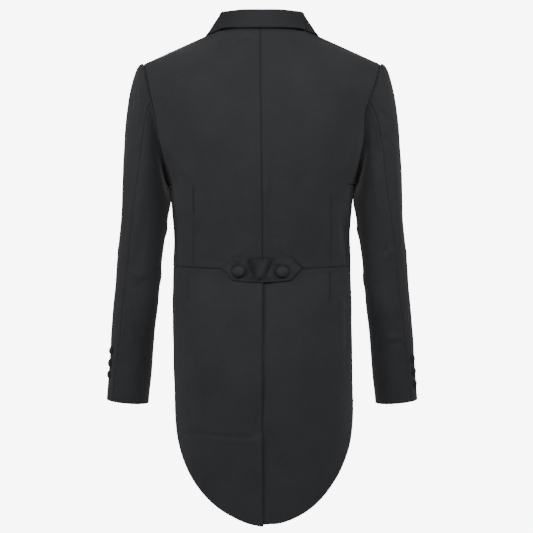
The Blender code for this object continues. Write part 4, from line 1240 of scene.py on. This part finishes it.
def make_sleeves(wool):
    stations = np.concatenate((crowd_start(92), np.linspace(1.0, 2.0, 92)[1:]))[:, None]
    hindarm = smooth_value(HINDARM, "turn", stations)
    forearm = FOREARM_SEAM_TURN - 360
    for word, side in SIDES:
        core = (side * 0.245, -0.01, -0.45)
        for part, first, last, count in (
            ("top", forearm, hindarm, 118),
            ("under", hindarm, FOREARM_SEAM_TURN, 90),
        ):
            turns = mix(first, last, crowded(count, 0.6)[None, :])
            inner = sleeve_point(turns, stations, side)
            gaps = edge_gaps(inner)
            roll_rows, move = sleeve_head_roll(turns[0], side)
            fade = np.exp(-gaps["first_row"] / HEAD_SHIFT_FADE)
            slow_fade = np.exp(-gaps["first_row"] / 0.035)
            lean = armhole_lean(inner[:1], side) * ease(turns[:1] / 20) * ease((200 - turns[:1]) / 20)
            inner = inner + move[None] * fade[..., None]
            inner[..., 0] += lean * (slow_fade - fade)
            radius = 0.052
            chart = np.stack((np.radians(turns + 0 * stations) * radius, inner[..., 2]), axis=-1)
            round_creases = [
                crease._replace(line=tuple((math.radians(turn) * radius, z) for turn, z in crease.line))
                for crease in SLEEVE_CREASES[side]
            ]
            relief = swell_relief(chart, 3.0 * side) * ease(gaps["first_row"] / 0.04)
            relief += crease_relief(chart, round_creases)
            shade = np.zeros(relief.shape)
            for edge in ("first_column", "last_column"):
                relief += seam_relief(gaps[edge])
                shade = np.maximum(shade, 0.42 * seam_shade(gaps[edge]))
            trough = HEAD_TROUGH * behind_arm(turns) * ease(gaps["first_row"] / HEAD_TROUGH_START)
            relief -= trough * np.exp(-((gaps["first_row"] / HEAD_TROUGH_WIDTH) ** 2))
            relief *= ease(gaps["first_row"] / 0.003)
            # Painted shade in the seams and along the armhole, darker behind and under the arm.
            deepness = ease((turns - 30) / 80) * ease((300 - turns) / 60)
            shade = np.maximum(shade, mix(0.35, 0.9, deepness) * seam_shade(gaps["first_row"] * 0.7))
            shade = np.maximum(shade, underarm_shade(turns, inner[..., 2], gaps["first_row"], side))
            under_roll = np.zeros(roll_rows.shape[:2])
            inner = np.concatenate((roll_rows, inner))
            relief = np.concatenate((under_roll, relief))
            shade = np.concatenate((under_roll + mix(0.5, 1.0, deepness[0]), shade))
            node = "sleeve_{}_{}".format(part, word)
            piece = cloth_piece(node, inner, core, relief, shade, wool)


def neck_edge(place, side):
    share = np.minimum(NECK_SHARE * place / COLLAR_NECK_PLACE, NECK_SHARE)
    back, back_normal, _, back_down = panel_frame(back_point, share, 0.0, side)
    turn = np.maximum(LAPEL_GORGE_TURN * (place - COLLAR_NECK_PLACE) / (1 - COLLAR_NECK_PLACE), 0.0)
    front, front_normal, front_across, _ = panel_frame(front_point, 1.0, turn, side)
    behind = (place <= COLLAR_NECK_PLACE)[..., None]
    return (
        np.where(behind, back, front),
        np.where(behind, back_normal, front_normal),
        np.where(behind, back_down, -front_across),
    )


def leaf_edge(place, side):
    back = panel_outside(
        back_point,
        smooth_value(LEAF_EDGE_BACK, "share", place),
        smooth_value(LEAF_EDGE_BACK, "turn", place),
        side,
        mix(LEAF_STAND_OFF, LEAF_GAP, ease(place / COLLAR_NECK_PLACE)),
    )
    front = panel_outside(
        front_point,
        smooth_value(LEAF_EDGE_FRONT, "share", place),
        smooth_value(LEAF_EDGE_FRONT, "turn", place),
        side,
        LEAF_GAP,
    )
    return np.where((place <= COLLAR_NECK_PLACE)[..., None], back, front)


def leaf_on_front(place, share, side):
    edge_turn = LAPEL_GORGE_TURN * (place - COLLAR_NECK_PLACE) / (1 - COLLAR_NECK_PLACE)
    edge_turn = np.maximum(edge_turn, 0.0)
    end_share = smooth_value(LEAF_EDGE_FRONT, "share", place)
    end_turn = smooth_value(LEAF_EDGE_FRONT, "turn", place)
    lift = LEAF_GAP + LAPEL_ROLL * np.sin(np.pi * share)
    return panel_outside(
        front_point, mix(1.0, end_share, share), mix(edge_turn, end_turn, share), side, lift
    )


def collar_rows(places, side):
    """Lines across the collar: up the stand, over the fold and down the leaf."""
    base, normal, down = neck_edge(places, side)
    stand = smooth_value(STANDS, "height", places)[:, None]
    lean = smooth_value(STANDS, "lean", places)[:, None]
    flare = smooth_value(STANDS, "flare", places)[:, None]
    lie = ease(smooth_value(STANDS, "lie", places))[:, None]
    quarter = np.radians(90 * np.minimum(places / COLLAR_NECK_PLACE, 1.0))
    out = unit(mix(point(side * np.sin(quarter), np.cos(quarter), 0.0), down, lie))
    lying_up = normal * GORGE_RISE - down * GORGE_TURN_IN
    up = unit(mix(np.array((0.0, 0.0, 1.0)) - out * lean, lying_up, lie))
    foot = base + normal * CLOTH + up * COLLAR_GAP
    top = foot + up * stand
    fold_centre = top + out * FOLD_RADIUS
    rows = [mix(foot, top, share) for share in np.linspace(0.0, 1.0, 16)]
    for share in np.linspace(0.0, 1.0, 9)[1:-1]:
        bend = math.pi * share
        rows.append(fold_centre - out * FOLD_RADIUS * math.cos(bend) + up * FOLD_RADIUS * math.sin(bend))
    turn_down = fold_centre + out * FOLD_RADIUS
    edge = leaf_edge(places, side)
    leave = -up + out * (LEAF_LEAVE_FLARE * flare)
    arrive = -up + out * flare
    for share in crowd_end(36):
        free = run_between(turn_down, leave, edge, arrive, np.full(len(places), share), LEAF_PULL, LEAF_PULL)
        lying = leaf_on_front(places, np.full(len(places), share), side)
        rows.append(mix(free, lying, lie))
    return np.stack(rows, axis=1)


def make_collar(facing):
    places = np.concatenate((
        np.linspace(0.0, COLLAR_NECK_PLACE, 72), np.linspace(COLLAR_NECK_PLACE, 1.0, 58)[1:],
    ))
    left = collar_rows(places, LEFT)
    right = collar_rows(places[:0:-1], RIGHT)
    inner = np.concatenate((right, left))
    along = np.concatenate((places[:0:-1], places))[:, None, None]
    past_stand = ease((np.arange(inner.shape[1]) - 8.0) / 8.0)[None, :, None]
    neck_corner = np.exp(-(((along - COLLAR_NECK_PLACE + 0.03) / 0.10) ** 2))
    inner = mix(inner, softened(inner, 36), neck_corner * past_stand)
    beside = ease((np.abs(inner[..., 0]) - 0.030) / 0.040)
    behind = ease((inner[..., 1] + 0.020) / 0.030)
    widen = COLLAR_WIDEN * beside * behind * ease((inner[..., 2] - 0.004) / 0.016)
    inner[..., 0] += np.sign(inner[..., 0]) * widen
    inner[..., 2] -= COLLAR_TOP_DROP * beside * ease((inner[..., 2] - 0.026) / 0.016)
    gaps = edge_gaps(inner)
    chart = np.stack((gaps["first_row"] - gaps["first_row"][-1:] / 2, inner[..., 2]), axis=-1)
    leaf = ease((gaps["first_column"] - 0.036) / 0.02)
    relief = swell_relief(chart * 1.6, 4.0) * 0.7 * leaf
    relief -= 0.0006 * np.exp(-((gaps["last_column"] / 0.0018) ** 2))
    # Painted shade in the neck seam and along the leaf's lower edge.
    shade = np.maximum(seam_shade(gaps["first_column"]), np.exp(-((gaps["last_column"] / 0.0010) ** 2)))
    core = NECK_CENTRE + np.array((0.0, 0.05, 0.02))
    normal, sign = grid_normals(inner, core)
    middle = inner[inner.shape[0] // 2, 4]
    if np.dot(normal[inner.shape[0] // 2, 4], middle - core) < 0:
        normal, sign = -normal, -sign
    inner = inner + normal * relief[..., None]
    outer = inner + normal * COLLAR_CLOTH
    mesh = shell_mesh("collar_cloth", inner, outer, sign, shade)
    piece = add_piece("collar_cloth", mesh, "collar", facing)


def lapel_point(share, rise, side):
    roll_turn = mix(LAPEL_BREAK_TURN, LAPEL_ROLL_TOP_TURN, rise)
    edge_turn = mix(LAPEL_BREAK_TURN, LAPEL_PEAK_TURN, rise)
    roll_line = front_point(np.ones_like(roll_turn), roll_turn, side)
    half_way = front_point(np.full_like(roll_turn, 0.5), roll_turn, side)
    front_width = np.linalg.norm(half_way - roll_line, axis=-1) * 2
    width = smooth_value(LAPEL_WIDTHS, "width", roll_line[..., 2])
    panel_share = 1.0 - share * width / front_width
    notch = LAPEL_NOTCH_DIP * np.maximum(0.0, 1 - np.abs(share - LAPEL_NOTCH_PLACE) / LAPEL_NOTCH_PLACE)
    turn = mix(roll_turn, edge_turn, share) + notch * rise ** LAPEL_NOTCH_FADE
    swell = np.sin(np.pi * np.minimum(share * LAPEL_ROLL_SPREAD, 1.0))
    roll = LAPEL_ROLL * swell * np.minimum(1.0, LAPEL_ROLL_START * rise)
    return panel_outside(front_point, panel_share, turn, side, LAY_GAP + roll)


def make_lapels(facing):
    shares = np.linspace(0.0, 1.0, 51)[None, :]
    rises = 1 - (1 - np.linspace(0.0, 1.0, 124)[:, None]) ** 1.6
    shares, rises = np.broadcast_arrays(shares, rises)
    for word, side in SIDES:
        inner = lapel_point(shares, rises, side)
        gaps = edge_gaps(inner)
        chart = inner[..., [0, 2]]
        relief = swell_relief(chart * 1.5, 5.0) * 0.5
        relief -= 0.0005 * np.exp(-((gaps["last_column"] / 0.0018) ** 2))
        shade = np.zeros(relief.shape)
        piece = cloth_piece("lapel_" + word, inner, (side * 0.1, 0, -0.25), relief, shade, facing,
                            LAPEL_CLOTH)


# Half belt and buttons


def tab_relief(x, height_share):
    inside = ease((TAB_GATHER_LEFT - x) / TAB_GATHER_FADE) * ease((x - TAB_GATHER_RIGHT) / TAB_GATHER_FADE)
    relief = TAB_BULGE * inside
    for gather in GATHERS:
        centre = mix(gather.bottom_x, gather.top_x, (height_share + 1) / 2)
        relief = relief + inside * gather.height * np.exp(-(((x - centre) / gather.width) ** 2))
    hugging = 1 - TAB_EDGE_HUG * ease((-height_share - 0.45) / 0.5)
    return 0.5 * (relief + np.hypot(relief, TAB_SOFTNESS)) * hugging


def tab_half_height(x):
    beyond = np.maximum(np.abs(x) - TAB_CORNER, 0.0) / (TAB_HALF_LENGTH - TAB_CORNER)
    return mix(TAB_HALF_HEIGHT, TAB_TIP_HALF_HEIGHT, beyond)


def tab_point(x, height_share, clear=0.0):
    sag = TAB_SAG * (1 - (np.minimum(np.abs(x), TAB_CORNER) / TAB_CORNER) ** 2)
    height = TAB_LEVEL - sag + height_share * tab_half_height(x)
    power = smooth_value(RINGS, "power", height)
    half_width = smooth_value(RINGS, "half_width", height)
    angle = np.sign(x) * np.degrees(np.arcsin((np.abs(x) / half_width) ** (power / 2)))
    return ring_point(height, angle, LEFT, -(TAB_GAP + tab_relief(x, height_share) + clear))


def make_half_belt(wool):
    ends = np.linspace(TAB_CORNER, TAB_HALF_LENGTH, 26)
    middle = np.linspace(-TAB_CORNER, TAB_CORNER, 150)
    x = np.concatenate((-ends[:0:-1], middle, ends[1:]))[None, :]
    height_share = (2 * crowded(56, 0.6) - 1)[:, None]
    x, height_share = np.broadcast_arrays(x, height_share)
    inner = tab_point(x, height_share)
    gaps = edge_gaps(inner)
    edge = np.minimum(gaps["first_row"], gaps["last_row"])
    relief = -TAB_EDGE_DIP * np.exp(-((edge / TAB_EDGE_WIDTH) ** 2))
    stitch_line = np.exp(-(((edge - STITCH_INSET) / STITCH_WIDTH) ** 2))
    relief -= STITCH_DIP * stitch_line
    # Painted shade along the stitching and the outline, in the hollows between the folds, in tucks beside the
    # buttons and in rings round them.
    shade = STITCH_SHADE * stitch_line
    right_end = ease((-x - TAB_RIGHT_END) / TAB_OUTLINE_FADE)
    top_middle = ease((TAB_TOP_MIDDLE - np.abs(x)) / TAB_OUTLINE_FADE) * ease(height_share / 0.5)
    outline_shade = np.maximum(TAB_RIGHT_SHADE * right_end, TAB_TOP_SHADE * top_middle)
    outline_shade = np.maximum(TAB_OUTLINE_SHADE, outline_shade)
    outline_width = mix(TAB_OUTLINE_WIDTH, TAB_RIGHT_WIDTH, right_end)
    shade = np.maximum(shade, outline_shade * np.exp(-((edge / outline_width) ** 2)))
    for hollow in TAB_HOLLOWS:
        centre = mix(hollow.bottom_x, hollow.top_x, (height_share + 1) / 2)
        fold_shade = hollow.height * np.exp(-(((x - centre) / hollow.width) ** 2))
        shade = np.maximum(shade, fold_shade * mix(0.45, 1.0, ease((height_share + 1.0) / 1.2)))
    for _, side in SIDES:
        aside = x - TAB_BUTTON_X[side]
        above = height_share * tab_half_height(x) - TAB_BUTTON_DROP
        tuck_aside, tuck_above = TAB_TUCKS[side]
        tuck = ((aside - tuck_aside) / TUCK_WIDTH) ** 2 + ((above - tuck_above) / TUCK_HEIGHT) ** 2
        shade = np.maximum(shade, TUCK_SHADE * np.exp(-tuck))
        ring = np.hypot(aside, above / TAB_BUTTON_FLATTEN)
        wide = BUTTON_RING_WIDTH * (1 + 0.6 * ease(above / TAB_BUTTON_RADIUS))
        shade = np.maximum(shade, BUTTON_RING_SHADE * np.exp(-(((ring - TAB_BUTTON_RADIUS) / wide) ** 2)))
    piece = cloth_piece("back_tab", inner, (0, 0, TAB_LEVEL), relief, shade, wool)


Profile = namedtuple("Profile", "out up")
BUTTON_PROFILE = (
    Profile(0.00, 1.000),
    Profile(0.22, 0.988),
    Profile(0.45, 0.935),
    Profile(0.65, 0.835),
    Profile(0.80, 0.700),
    Profile(0.92, 0.530),
    Profile(0.98, 0.380),
    Profile(1.00, 0.260),
    Profile(0.97, 0.130),
    Profile(0.88, 0.040),
    Profile(0.70, 0.000),
    Profile(0.00, 0.000),
)
BUTTON_TURNS = 72
BUTTON_PLEATS = 12


def button_mesh(name, base, normal, radius, height, flatten):
    """Covered, domed button: cloth drawn over a mould, with small pleats where it tucks under."""
    normal = Vector(normal).normalized()
    across = Vector((0.0, 0.0, 1.0)).cross(normal).normalized()
    upward = normal.cross(across) * flatten
    turns = np.linspace(0, 2 * np.pi, BUTTON_TURNS, endpoint=False)
    rings = []
    shades = []
    cuts = []
    for step in BUTTON_PROFILE[1:-1]:
        tuck = max(0.0, (step.out - 0.80) / 0.20) * (1 - abs(step.up - 0.2))
        pleat = 1 + 0.030 * tuck * np.cos(turns * BUTTON_PLEATS + 0.6 * np.sin(turns * 3))
        out = radius * step.out * pleat
        ring = (
            np.outer(out * np.cos(turns), np.array(across))
            + np.outer(out * np.sin(turns), np.array(upward))
            + np.array(normal) * height * step.up
        )
        rings.append(ring)
        # Painted shade, darker towards the button's foot; the sole is fully shaded.
        shades.append(np.full(BUTTON_TURNS, 0.9 * ease((0.80 - step.up) / 0.55)))
        cuts.append(np.stack((out * np.cos(turns), out * np.sin(turns)), axis=-1))
    rings = np.stack(rings)
    crown = np.array(normal)[None, :] * height
    sole = np.zeros((1, 3))
    points = np.concatenate((rings.reshape(-1, 3), crown, sole)) + np.array(base)
    count = BUTTON_TURNS
    faces = []
    for row in range(len(rings) - 1):
        for place in range(count):
            following = (place + 1) % count
            faces.append((row * count + place, (row + 1) * count + place,
                          (row + 1) * count + following, row * count + following))
    crown_index = len(rings) * count
    sole_index = crown_index + 1
    last = (len(rings) - 1) * count
    for place in range(0, count, 2):
        faces.append((crown_index, place, place + 1, (place + 2) % count))
        faces.append((sole_index, last + (place + 2) % count, last + place + 1, last + place))
    cut_points = np.concatenate((np.concatenate(cuts), np.zeros((2, 2))))
    shade_points = np.concatenate((np.concatenate(shades), np.zeros(1), np.ones(1)))
    return mesh_from(name, points, np.array(faces), cut_points, shade_points)


def add_button(node, base, normal, radius, height, cover, flatten=1.0):
    base = np.array(base) + np.array(Vector(normal).normalized()) * BUTTON_LIFT
    mesh = button_mesh(node + "_covered", base, normal, radius, height, flatten)
    return add_piece(node + "_covered", mesh, node, cover)


def make_cuff_buttons(cover):
    for word, side in SIDES:
        for number, button in enumerate(CUFF_BUTTONS[side], start=1):
            station = 1 + (ARM_TOP - button.height) / (ARM_TOP - ARM_END)
            here = sleeve_point(button.turn, station, side)
            ahead = sleeve_point(button.turn + 2, station, side)
            round_way = ahead - sleeve_point(button.turn - 2, station, side)
            down_way = sleeve_point(button.turn, station + 0.02, side) - here
            normal = unit(np.cross(round_way, down_way))
            axis = point(
                side * smooth_value(OVALS, "centre_x", here[2]),
                smooth_value(OVALS, "centre_y", here[2]),
                here[2],
            )
            if np.dot(normal, here - axis) < 0:
                normal = -normal
            add_button("cuff_button_{}_{}".format(word, number), here + normal * CLOTH, normal,
                       CUFF_BUTTON_RADIUS, CUFF_BUTTON_HEIGHT, cover)


def make_tab_buttons(cover):
    for word, side in SIDES:
        x = np.array(TAB_BUTTON_X[side])
        share = TAB_BUTTON_DROP / TAB_HALF_HEIGHT
        rise = TAB_BUTTON_PROBE / TAB_HALF_HEIGHT
        base = tab_point(x, share, CLOTH + TAB_BUTTON_SEAT)
        across = tab_point(x + TAB_BUTTON_PROBE, share) - tab_point(x - TAB_BUTTON_PROBE, share)
        upward = tab_point(x, share + rise) - tab_point(x, share - rise)
        add_button("tab_button_" + word, base, np.cross(upward, across),
                   TAB_BUTTON_RADIUS, TAB_BUTTON_HEIGHT, cover, TAB_BUTTON_FLATTEN)


# Materials


def new_group(name, inputs, outputs):
    group = bpy.data.node_groups.new(name, "ShaderNodeTree")
    for label, kind, value in inputs:
        socket = group.interface.new_socket(label, in_out="INPUT", socket_type=kind)
        if value is not None:
            socket.default_value = value
    for label, kind in outputs:
        group.interface.new_socket(label, in_out="OUTPUT", socket_type=kind)
    entry = group.nodes.new("NodeGroupInput")
    leave = group.nodes.new("NodeGroupOutput")
    return group, entry, leave


def math_node(group, operation, first, second=None, third=None, clamp=False):
    node = group.nodes.new("ShaderNodeMath")
    node.operation = operation
    node.use_clamp = clamp
    for index, value in enumerate((first, second, third)):
        if value is None:
            continue
        if isinstance(value, (int, float)):
            node.inputs[index].default_value = value
        else:
            group.links.new(value, node.inputs[index])
    return node.outputs[0]


def noise_node(group, vector, scale, detail, roughness):
    node = group.nodes.new("ShaderNodeTexNoise")
    group.links.new(vector, node.inputs["Vector"])
    if isinstance(scale, (int, float)):
        node.inputs["Scale"].default_value = scale
    else:
        group.links.new(scale, node.inputs["Scale"])
    node.inputs["Detail"].default_value = detail
    node.inputs["Roughness"].default_value = roughness
    return node.outputs["Fac"]


def make_weave_group():
    """Fine twill: steep diagonal ribs of one thread's width, crossed by the weft."""
    group, entry, leave = new_group(
        "fine_twill",
        (("Cut", "NodeSocketVector", None), ("Threads per metre", "NodeSocketFloat", 1500.0)),
        (("Height", "NodeSocketFloat"),),
    )
    split = group.nodes.new("ShaderNodeSeparateXYZ")
    group.links.new(entry.outputs["Cut"], split.inputs[0])
    across = math_node(group, "MULTIPLY", split.outputs[0], entry.outputs["Threads per metre"])
    along = math_node(group, "MULTIPLY", split.outputs[1], entry.outputs["Threads per metre"])
    diagonal = math_node(group, "ADD", across, math_node(group, "MULTIPLY", along, 0.5))
    rib = math_node(group, "SINE", math_node(group, "MULTIPLY", diagonal, math.pi))
    weft = math_node(group, "SINE", math_node(group, "MULTIPLY", along, 2 * math.pi))
    crossed = math_node(group, "MULTIPLY", weft, 0.35)
    height = math_node(group, "MULTIPLY_ADD", math_node(group, "ADD", rib, crossed), 0.37, 0.5)
    group.links.new(height, leave.inputs["Height"])
    return group


def make_tone_group():
    """Colour and nap of worn wool: fine mottling, broad clouds and the painted shade held by the seam
    attribute.
    """
    group, entry, leave = new_group(
        "cloth_tone_and_painted_shade",
        (
            ("Place", "NodeSocketVector", None),
            ("Colour", "NodeSocketColor", (0.02, 0.02, 0.02, 1.0)),
            ("Seam", "NodeSocketFloat", 0.0),
            ("Seam shade", "NodeSocketFloat", 0.7),
            ("Fine mottling", "NodeSocketFloat", 0.3),
            ("Broad clouds", "NodeSocketFloat", 0.2),
            ("Roughness", "NodeSocketFloat", 0.85),
        ),
        (("Colour", "NodeSocketColor"), ("Roughness", "NodeSocketFloat"), ("Nap", "NodeSocketFloat")),
    )
    place = entry.outputs["Place"]
    fine = noise_node(group, place, 420.0, 2.0, 0.6)
    nap = noise_node(group, place, 1500.0, 2.0, 0.6)
    broad = noise_node(group, place, 17.0, 3.0, 0.5)
    fine_swing = math_node(group, "SUBTRACT", fine, 0.5)
    fine_lift = math_node(group, "MULTIPLY", fine_swing, entry.outputs["Fine mottling"])
    broad_swing = math_node(group, "SUBTRACT", broad, 0.5)
    broad_lift = math_node(group, "MULTIPLY", broad_swing, entry.outputs["Broad clouds"])
    lift = math_node(group, "ADD", math_node(group, "ADD", fine_lift, broad_lift), 1.0)
    # Painted shade: the seam attribute darkens the colour, scaled by the finish's seam shade.
    shade = math_node(group, "MULTIPLY", entry.outputs["Seam"], entry.outputs["Seam shade"])
    factor = math_node(group, "MULTIPLY", lift, math_node(group, "SUBTRACT", 1.0, shade))
    scaled = group.nodes.new("ShaderNodeVectorMath")
    scaled.operation = "SCALE"
    group.links.new(entry.outputs["Colour"], scaled.inputs[0])
    group.links.new(factor, scaled.inputs["Scale"])
    group.links.new(scaled.outputs[0], leave.inputs["Colour"])
    roughness = math_node(
        group, "ADD", entry.outputs["Roughness"],
        math_node(group, "MULTIPLY", fine_swing, 0.12), clamp=True,
    )
    group.links.new(roughness, leave.inputs["Roughness"])
    group.links.new(nap, leave.inputs["Nap"])
    return group


Finish = namedtuple(
    "Finish",
    "colour roughness specular sheen sheen_roughness mottling clouds threads "
    "weave_depth nap_depth seam_shade",
)
# seam_shade is how far the painted shade darkens each cloth.
FINISHES = {
    "black_wool": Finish((0.0160, 0.0165, 0.0183, 1.0), 0.90, 0.22, 0.06, 0.45, 0.70, 0.38, 1500.0, 0.00014,
                         0.00020, 0.62),
    "collar_facing": Finish((0.0140, 0.0146, 0.0165, 1.0), 0.84, 0.18, 0.04, 0.40, 0.50, 0.45, 1900.0,
                            0.00008, 0.00014, 0.70),
    "button_cover": Finish((0.0092, 0.0097, 0.0112, 1.0), 0.70, 0.26, 0.05, 0.40, 0.45, 0.20, 1800.0, 0.00008,
                           0.00008, 0.70),
}


def make_material(name, finish, weave_group, tone_group):
    material = bpy.data.materials.new(name)
    material.use_nodes = True
    tree = material.node_tree
    shader = tree.nodes["Principled BSDF"]
    shader.inputs["Metallic"].default_value = 0.0
    shader.inputs["Specular IOR Level"].default_value = finish.specular
    shader.inputs["Sheen Weight"].default_value = finish.sheen
    shader.inputs["Sheen Roughness"].default_value = finish.sheen_roughness
    place = tree.nodes.new("ShaderNodeTexCoord")
    cut = tree.nodes.new("ShaderNodeUVMap")
    cut.uv_map = "cloth_cut"
    # Painted shade held by the seam attribute, fed to the tone group to darken the base colour.
    seam = tree.nodes.new("ShaderNodeAttribute")
    seam.attribute_name = "seam"
    tone = tree.nodes.new("ShaderNodeGroup")
    tone.node_tree = tone_group
    tone.inputs["Colour"].default_value = finish.colour
    tone.inputs["Seam shade"].default_value = finish.seam_shade
    tone.inputs["Fine mottling"].default_value = finish.mottling
    tone.inputs["Broad clouds"].default_value = finish.clouds
    tone.inputs["Roughness"].default_value = finish.roughness
    tree.links.new(place.outputs["Object"], tone.inputs["Place"])
    tree.links.new(seam.outputs["Fac"], tone.inputs["Seam"])
    weave = tree.nodes.new("ShaderNodeGroup")
    weave.node_tree = weave_group
    weave.inputs["Threads per metre"].default_value = finish.threads
    tree.links.new(cut.outputs["UV"], weave.inputs["Cut"])
    tree.links.new(tone.outputs["Colour"], shader.inputs["Base Color"])
    tree.links.new(tone.outputs["Roughness"], shader.inputs["Roughness"])
    weave_bump = tree.nodes.new("ShaderNodeBump")
    weave_bump.inputs["Strength"].default_value = 1.0
    weave_bump.inputs["Distance"].default_value = finish.weave_depth
    tree.links.new(weave.outputs["Height"], weave_bump.inputs["Height"])
    nap_bump = tree.nodes.new("ShaderNodeBump")
    nap_bump.inputs["Strength"].default_value = 1.0
    nap_bump.inputs["Distance"].default_value = finish.nap_depth
    tree.links.new(tone.outputs["Nap"], nap_bump.inputs["Height"])
    tree.links.new(weave_bump.outputs["Normal"], nap_bump.inputs["Normal"])
    tree.links.new(nap_bump.outputs["Normal"], shader.inputs["Normal"])
    return material


# Studio

CAMERA_DISTANCE = 3.8
CAMERA_X = -0.00864
CAMERA_Z = -0.4426
PICTURE_WIDTH = 533 * 0.00192
SENSOR = 36.0
FLOOR_Z = -1.45
FLOOR_RADIUS = 3.4

StudioLight = namedtuple("StudioLight", "name place aim size power")
STUDIO_LIGHTS = (
    StudioLight("high_softbox", (0.00, 1.90, 0.60), (0.0, 0.0, -0.20), 0.9, 45.0),
    StudioLight("left_softbox", (1.55, 0.80, 0.35), (0.0, 0.0, -0.15), 0.5, 18.5),
    StudioLight("right_softbox", (-1.55, 0.80, 0.75), (0.0, 0.0, -0.10), 0.5, 20.0),
    StudioLight("front_fill", (0.0, -3.0, 0.8), (0.0, 0.0, -0.40), 2.0, 60.0),
)
WORLD_LIGHT = 0.155
WORLD_SHOWN = 8.0


def aim(thing, place, target):
    thing.location = place
    way = Vector(target) - Vector(place)
    thing.rotation_euler = way.to_track_quat("-Z", "Y").to_euler()


def make_camera():
    data = bpy.data.cameras.new("view")
    data.sensor_width = SENSOR
    data.lens = SENSOR * CAMERA_DISTANCE / PICTURE_WIDTH
    camera = bpy.data.objects.new("view", data)
    bpy.context.scene.collection.objects.link(camera)
    aim(camera, (CAMERA_X, CAMERA_DISTANCE, CAMERA_Z), (CAMERA_X, 0.0, CAMERA_Z))
    bpy.context.scene.camera = camera


def make_lights():
    for light in STUDIO_LIGHTS:
        data = bpy.data.lights.new(light.name, "AREA")
        data.shape = "DISK"
        data.size = light.size
        data.energy = light.power
        lamp = bpy.data.objects.new(light.name, data)
        bpy.context.scene.collection.objects.link(lamp)
        aim(lamp, light.place, light.aim)


def make_world():
    world = bpy.data.worlds.new("pale_room")
    world.use_nodes = True
    bpy.context.scene.world = world
    tree = world.node_tree
    tree.nodes.clear()
    shown = tree.nodes.new("ShaderNodeBackground")
    shown.inputs["Color"].default_value = (1.0, 1.0, 1.0, 1.0)
    shown.inputs["Strength"].default_value = WORLD_SHOWN
    lit = tree.nodes.new("ShaderNodeBackground")
    lit.inputs["Color"].default_value = (0.93, 0.96, 1.0, 1.0)
    lit.inputs["Strength"].default_value = WORLD_LIGHT
    rays = tree.nodes.new("ShaderNodeLightPath")
    choose = tree.nodes.new("ShaderNodeMixShader")
    leave = tree.nodes.new("ShaderNodeOutputWorld")
    tree.links.new(rays.outputs["Is Camera Ray"], choose.inputs[0])
    tree.links.new(lit.outputs[0], choose.inputs[1])
    tree.links.new(shown.outputs[0], choose.inputs[2])
    tree.links.new(choose.outputs[0], leave.inputs[0])


def make_floor():
    count = 96
    turns = np.linspace(0, 2 * np.pi, count, endpoint=False)
    rim = [(FLOOR_RADIUS * math.cos(t), FLOOR_RADIUS * math.sin(t), FLOOR_Z) for t in turns]
    mesh = bpy.data.meshes.new("studio_floor")
    mesh.from_pydata(rim, [], [tuple(range(count))])
    floor = bpy.data.objects.new("studio_floor", mesh)
    bpy.context.scene.collection.objects.link(floor)
    material = bpy.data.materials.new("pale_floor")
    material.use_nodes = True
    shader = material.node_tree.nodes["Principled BSDF"]
    shader.inputs["Base Color"].default_value = (0.80, 0.80, 0.80, 1.0)
    shader.inputs["Roughness"].default_value = 0.9
    mesh.materials.append(material)


def main():
    make_camera()
    make_lights()
    make_world()
    make_floor()
    weave_group = make_weave_group()
    tone_group = make_tone_group()
    cloths = {
        name: make_material(name, finish, weave_group, tone_group) for name, finish in FINISHES.items()
    }
    wool = cloths["black_wool"]
    facing = cloths["collar_facing"]
    cover = cloths["button_cover"]
    make_backs(wool)
    make_fronts(wool)
    make_tails(wool)
    make_sleeves(wool)
    make_collar(facing)
    make_lapels(facing)
    make_half_belt(wool)
    make_cuff_buttons(cover)
    make_tab_buttons(cover)


main()
